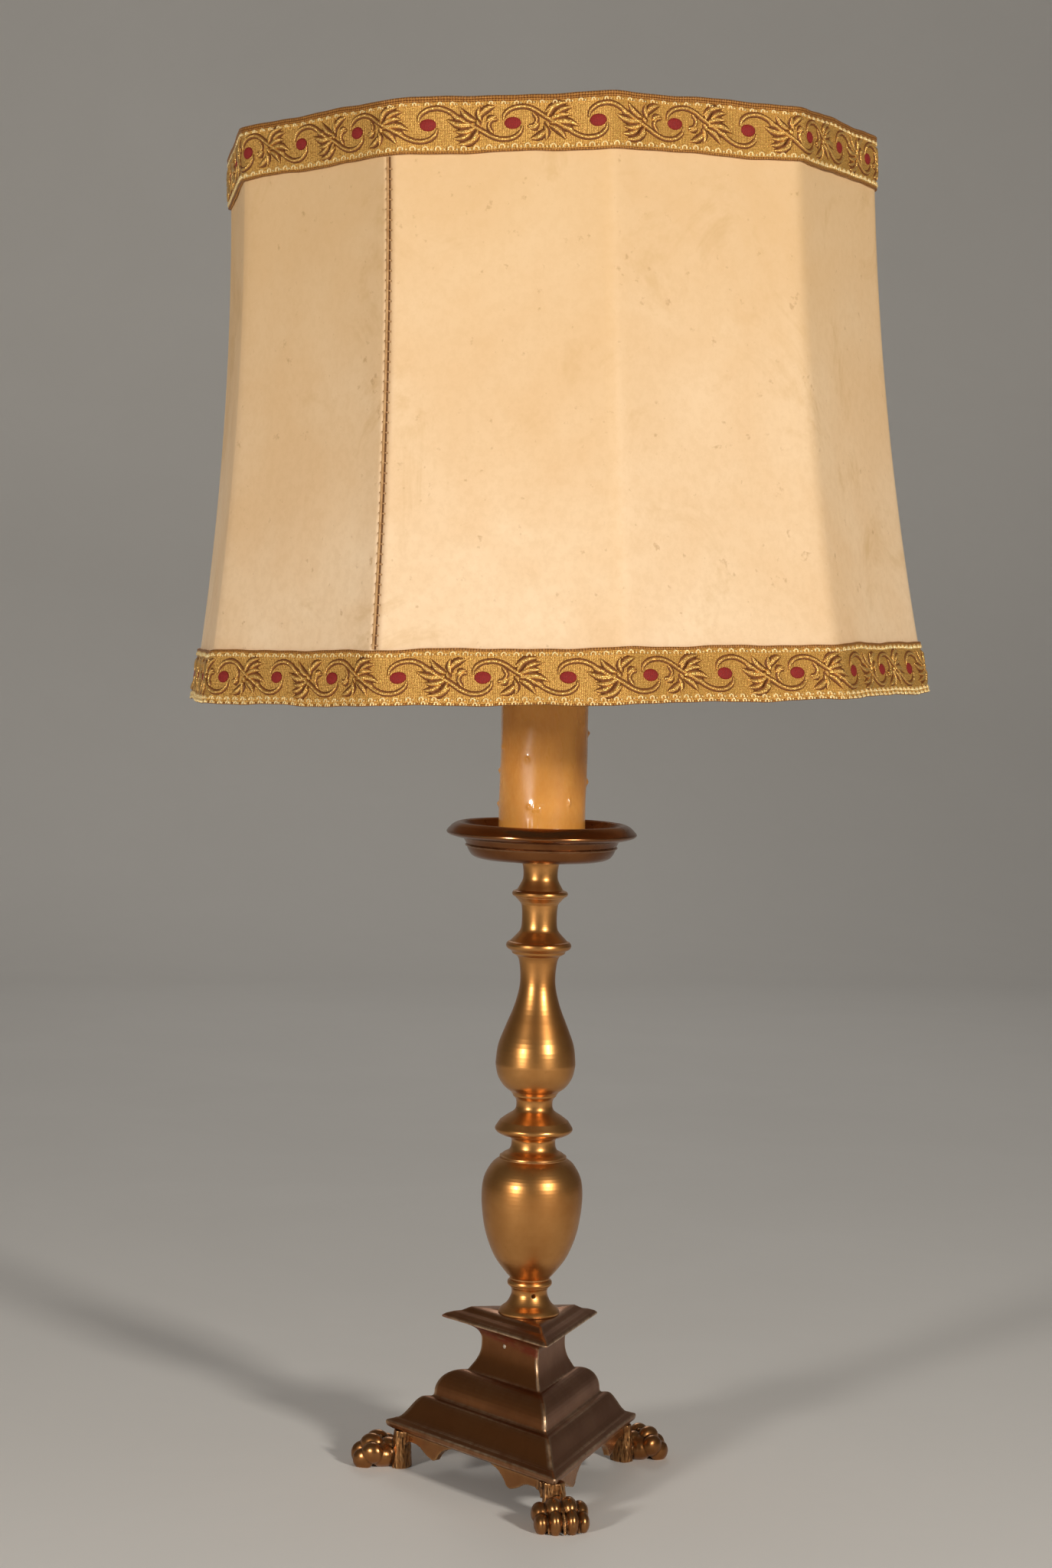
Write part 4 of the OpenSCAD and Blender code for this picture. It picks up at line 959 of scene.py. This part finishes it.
def stick(work, points, radius):
    """Row of overlapping balls along a line."""
    for a, b in zip(points, points[1:]):
        a, b = Vector(a), Vector(b)
        for k in range(6):
            blob(work, a.lerp(b, k / 6), (radius, radius, radius), 10, 6)


def wing_outline():
    """The wing seen from its side: a hollow by the ankle, a drop, and a rising end."""
    low = FOOT_H - WING_DROP
    hollow = [(0.146, -0.10), (0.229, 0.45), (0.333, 0.58), (0.458, 0.50), (0.583, 0.16), (0.69, 0.0)]
    end = [(0.74, 0.10), (0.80, 0.48), (0.89, 0.78), (1.0, 0.95)]
    line = [(0.06 * WING_L, FOOT_H), (0.06 * WING_L, low - 2)]
    for part in (hollow, end):
        curve = smooth_path([(a * WING_L, low + b * WING_DROP) for a, b in part], 16) / MM
        line += [tuple(p) for p in curve]
    return line + [(WING_L + 1, FOOT_H)]


def plate(work, outline, thickness, place):
    """Closed plate from an outline in x and z, with its thickness along y."""
    front = [work.verts.new(place @ Vector((x, 0, z))) for x, z in outline]
    back = [work.verts.new(place @ Vector((x, thickness, z))) for x, z in outline]
    work.faces.new(front)
    work.faces.new(back[::-1])
    for k in range(len(front)):
        m = (k + 1) % len(front)
        work.faces.new((front[m], front[k], back[k], back[m]))


def foot_form(paw_turn):
    """Mesh of all the balls, cords, the ankle, the screw lug and the two wings of one foot."""
    work = bmesh.new()
    for side in (1, -1):
        for (x, y, z), size in TOES:
            blob(work, (x, y * side, z), size)
        for line, radius in CORDS:
            stick(work, [(x, y * side, z) for x, y, z in line], radius)
    for centre, size in BODY:
        blob(work, centre, size)
    upright = Matrix.Translation((ANKLE_AT + 0.6, 0, FOOT_H / 2)) @ Matrix.Diagonal((0.76, 1, 1, 1))
    bmesh.ops.create_cone(work, cap_ends=True, segments=48, radius1=ANKLE_R + 1.6, radius2=ANKLE_R,
                          depth=FOOT_H, matrix=upright)
    aside = Matrix.Rotation(radians(paw_turn), 3, "Z")
    bmesh.ops.rotate(work, verts=work.verts, cent=(0, 0, 0), matrix=aside)
    lug_end, under = SCREW_AT - 4.5, FOOT_H - LUG_T
    lug = [(lug_end, under), (ANKLE_AT, under), (ANKLE_AT, FOOT_H), (lug_end, FOOT_H)]
    plate(work, lug, 2 * ANKLE_R, Matrix.Translation((0, -ANKLE_R, 0)))
    for side in (1, -1):
        place = Matrix.Translation((NOSE_R - 5, 0, 0)) @ Matrix.Rotation(radians(150), 4, "Z")
        if side < 0:
            place = Matrix.Scale(-1, 4, (0, 1, 0)) @ place
        plate(work, wing_outline(), WING_T, place)
    bmesh.ops.triangulate(work, faces=[f for f in work.faces if len(f.verts) > 4])
    bmesh.ops.recalc_face_normals(work, faces=work.faces)
    bmesh.ops.scale(work, vec=(MM, MM, MM), verts=work.verts)
    form = bpy.data.meshes.new("paw")
    work.to_mesh(form)
    work.free()
    return form


def foot_mesh(azimuth, paw_turn):
    """One foot as a single skin, with streaks of fur on the ankle, turned to its corner."""
    carrier = linked("paw", foot_form(paw_turn))
    fuse = carrier.modifiers.new("fuse", "REMESH")
    fuse.mode = "VOXEL"
    fuse.voxel_size = 0.38 * MM
    even = carrier.modifiers.new("even", "SMOOTH")
    even.iterations = 3
    mesh = shaped(carrier)
    points, normals = vertex_rows(mesh), vertex_rows(mesh, "normal")
    reach = np.hypot(points[:, 0] / MM - ANKLE_AT, points[:, 1] / MM)
    fur = np.clip((9.5 - reach) / 2.5, 0, 1) * np.clip(1.2 - np.abs(normals[:, 2]), 0, 1)
    streaks = rough_cast(points * np.array([1, 1, 0.22]), 1.1 * MM, 1.0)
    points += normals * (fur * streaks * 0.38 * MM + rough_cast(points, 5 * MM, 0.06 * MM))[:, None]
    points[:, 2] = np.clip(points[:, 2], 0, FOOT_H * MM)
    turn = radians(azimuth)
    x, y, z = points.T
    move_to(mesh, np.stack([x * cos(turn) - y * sin(turn), x * sin(turn) + y * cos(turn), z], axis=1))
    mark_wear_and_highlight(mesh, 0.8 * MM, 0.9 * MM, 2)
    return mesh


# Lacing: small stitches across the seam, between the two braids

STITCH_PITCH = 4.6 * MM
STITCH_R = 0.35 * MM


def lacing_stitches(name, seam):
    low_z, high_z = SHADE_Z + BRAID_W, SHADE_TOP_Z - BRAID_W
    count = int((high_z - low_z) / STITCH_PITCH)
    path = [(-1.6 * MM, -0.3 * MM), (0, 0), (1.6 * MM, 0.3 * MM)]
    stitch = joined("stitch", [tube_grid(path, STITCH_R, 6)])
    stitch.transform(Matrix.Rotation(pi / 2, 4, "Z"))
    mesh = repeated(stitch, cord_thread, count, STITCH_PITCH, low_z + STITCH_PITCH / 2)
    flat_uv(mesh)
    level, across, out = vertex_rows(mesh).T
    side = 2 * corner_r(level) * sin(HALF_SIDE)
    move_to(mesh, skin_point(seam + across / side, level, 0.3 * MM + out, SKIN_ROUNDING))
    put(name, mesh, "shade")


# Finishes of the part's own pieces; those not named are painted wire

FINISHES = (
    (plinth_bronze, "plinth"),
    (paw_bronze, "foot_front foot_right foot_left"),
    (stem_bronze, "stem_collar urn_section disc_section pear_section spool_section"),
    (pan_bronze, "drip_pan"),
    (brass, "centre_tube pan_nut sleeve_cup holder_cap centre_contact side_contact terminal_screws"),
    (brass, "holder_liner holder_shell lower_shade_ring upper_shade_ring"),
    (steel, "foot_screws base_nut base_washer bulb_cap bulb_tip bulb_leads bulb_filament"),
    (black_plastic, "inlet_bush bulb_insulator"),
    (porcelain, "holder_insulator"),
    (clear_glass, "bulb_glass bulb_mount"),
    (wax, "candle_sleeve"),
    (parchment, "skin_front skin_back"),
    (cord_thread, "lacing_front lacing_back"),
    (gold_weave, "top_braid bottom_braid"),
)
finish_of = {name: finish for finish, names in FINISHES for name in names.split()}
for name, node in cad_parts.items():
    node.data.materials.clear()
    node.data.materials.append(finish_of.get(name, wire_metal))

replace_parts(put("candle_wax", candle_mesh(), "base", wax), "candle_sleeve")
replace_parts(put("plinth_cast", plinth_mesh(), "base", plinth_bronze), "plinth")
plug = ball_mesh("casting_plug", (0.4 * MM, 1.15 * MM, 1.15 * MM), 4)
plug_place = Matrix.Translation((WAIST_R / 2 * MM, PLUG_ASIDE * MM, PLUG_Z * MM))
plug.transform(Matrix.Rotation(LEFT_FACE, 4, "Z") @ plug_place)
put("casting_plug", plug, "base", plug_metal)
for label, azimuth, paw_turn in (("foot_front", -90, 1.5), ("foot_right", 30, 0), ("foot_left", 150, 0)):
    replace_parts(put("paw_" + label, foot_mesh(azimuth, paw_turn), "base", paw_bronze), label)
parchment_half("parchment_front", FRONT_SEAM, "skin_front")
parchment_half("parchment_back", BACK_SEAM, "skin_back")
lacing_stitches("stitches_front", FRONT_SEAM)
lacing_stitches("stitches_back", BACK_SEAM)
braid_band("top_braid", SHADE_TOP_Z - BRAID_W / 2, 38.6 * MM, -5.2 * MM,
           ((-10.5, 1.0), (9.2, 0.7)), ((-12.2, 0.6), (11.9, 0.9), (10.7, 0.75)))
braid_band("bottom_braid", SHADE_Z + BRAID_W / 2, 38.5 * MM, 13 * MM,
           ((-10.0, 0.8), (-11.9, 0.7), (10.2, 0.9)), ((-12.3, 0.55), (12.0, 0.75)))


# Floor, backdrop, lights and camera

def stage_sheet():
    """Pale floor that curves up into a backdrop."""
    half, front, back, rise, bend = 4.5, -3.0, 3.0, 3.5, 0.9
    profile = [(front, 0.0), (back - bend, 0.0)]
    profile += [(back - bend + bend * sin(a), bend - bend * cos(a)) for a in np.linspace(0.1, pi / 2, 10)]
    profile += [(back, rise)]
    points = np.array([[(x, y, z) for y, z in profile] for x in (-half, half)])
    mesh = grid_mesh("stage", points)
    paint = plain_finish("stage_paint", (0.80, 0.78, 0.75), (0.78, 0.76, 0.73), 0.8, 3.0, 0.02)
    mesh.materials.append(paint)
    mesh.shade_smooth()
    linked("stage", mesh)


LIT_HEIGHT = 0.35


def softbox(name, azimuth, distance, height, size, power, tint):
    """Square lamp that faces the middle of the object."""
    light = bpy.data.lights.new(name, "AREA")
    light.shape = "RECTANGLE"
    light.size = light.size_y = size
    light.energy = power
    light.color = tint
    holder = linked(name, light)
    turn = radians(azimuth)
    holder.location = Vector((distance * cos(turn), distance * sin(turn), height))
    sight = Vector((0, 0, LIT_HEIGHT)) - holder.location
    holder.rotation_euler = sight.to_track_quat("-Z", "Y").to_euler()


def camera():
    """Looks along the line of sight of the photograph, with its small roll."""
    yaw, pitch = CAMERA_YAW, CAMERA_PITCH
    forward = Vector((sin(yaw) * cos(pitch), cos(yaw) * cos(pitch), -sin(pitch)))
    right = Vector((cos(yaw), -sin(yaw), 0))
    up = right.cross(forward)
    rolled_right = cos(CAMERA_ROLL) * right + sin(CAMERA_ROLL) * up
    rolled_up = -sin(CAMERA_ROLL) * right + cos(CAMERA_ROLL) * up
    axes = Matrix((rolled_right, rolled_up, -forward)).transposed()
    axes = Matrix.Rotation(-CAMERA_TURN, 3, "Z") @ axes
    data = bpy.data.cameras.new("camera")
    data.lens = LENS
    data.sensor_width = 36
    data.clip_end = 50
    holder = linked("camera", data)
    holder.matrix_world = Matrix.Translation(EYE) @ axes.to_4x4()
    bpy.context.scene.camera = holder


stage_sheet()
softbox("key", -140, 2.0, 0.65, 0.25, 18.5, (1.0, 0.95, 0.88))
softbox("fill", -62, 2.0, 0.93, 0.25, 25, (1.0, 0.95, 0.87))
softbox("rim", 80, 2.2, 1.6, 0.8, 5, (1.0, 0.97, 0.93))
world = bpy.data.worlds.new("studio")
bpy.context.scene.world = world
world.use_nodes = True
background = world.node_tree.nodes["Background"]
background.inputs["Color"].default_value = (1.0, 0.97, 0.93, 1.0)
background.inputs["Strength"].default_value = 0.10
bpy.context.scene.view_settings.view_transform = "Standard"
camera()
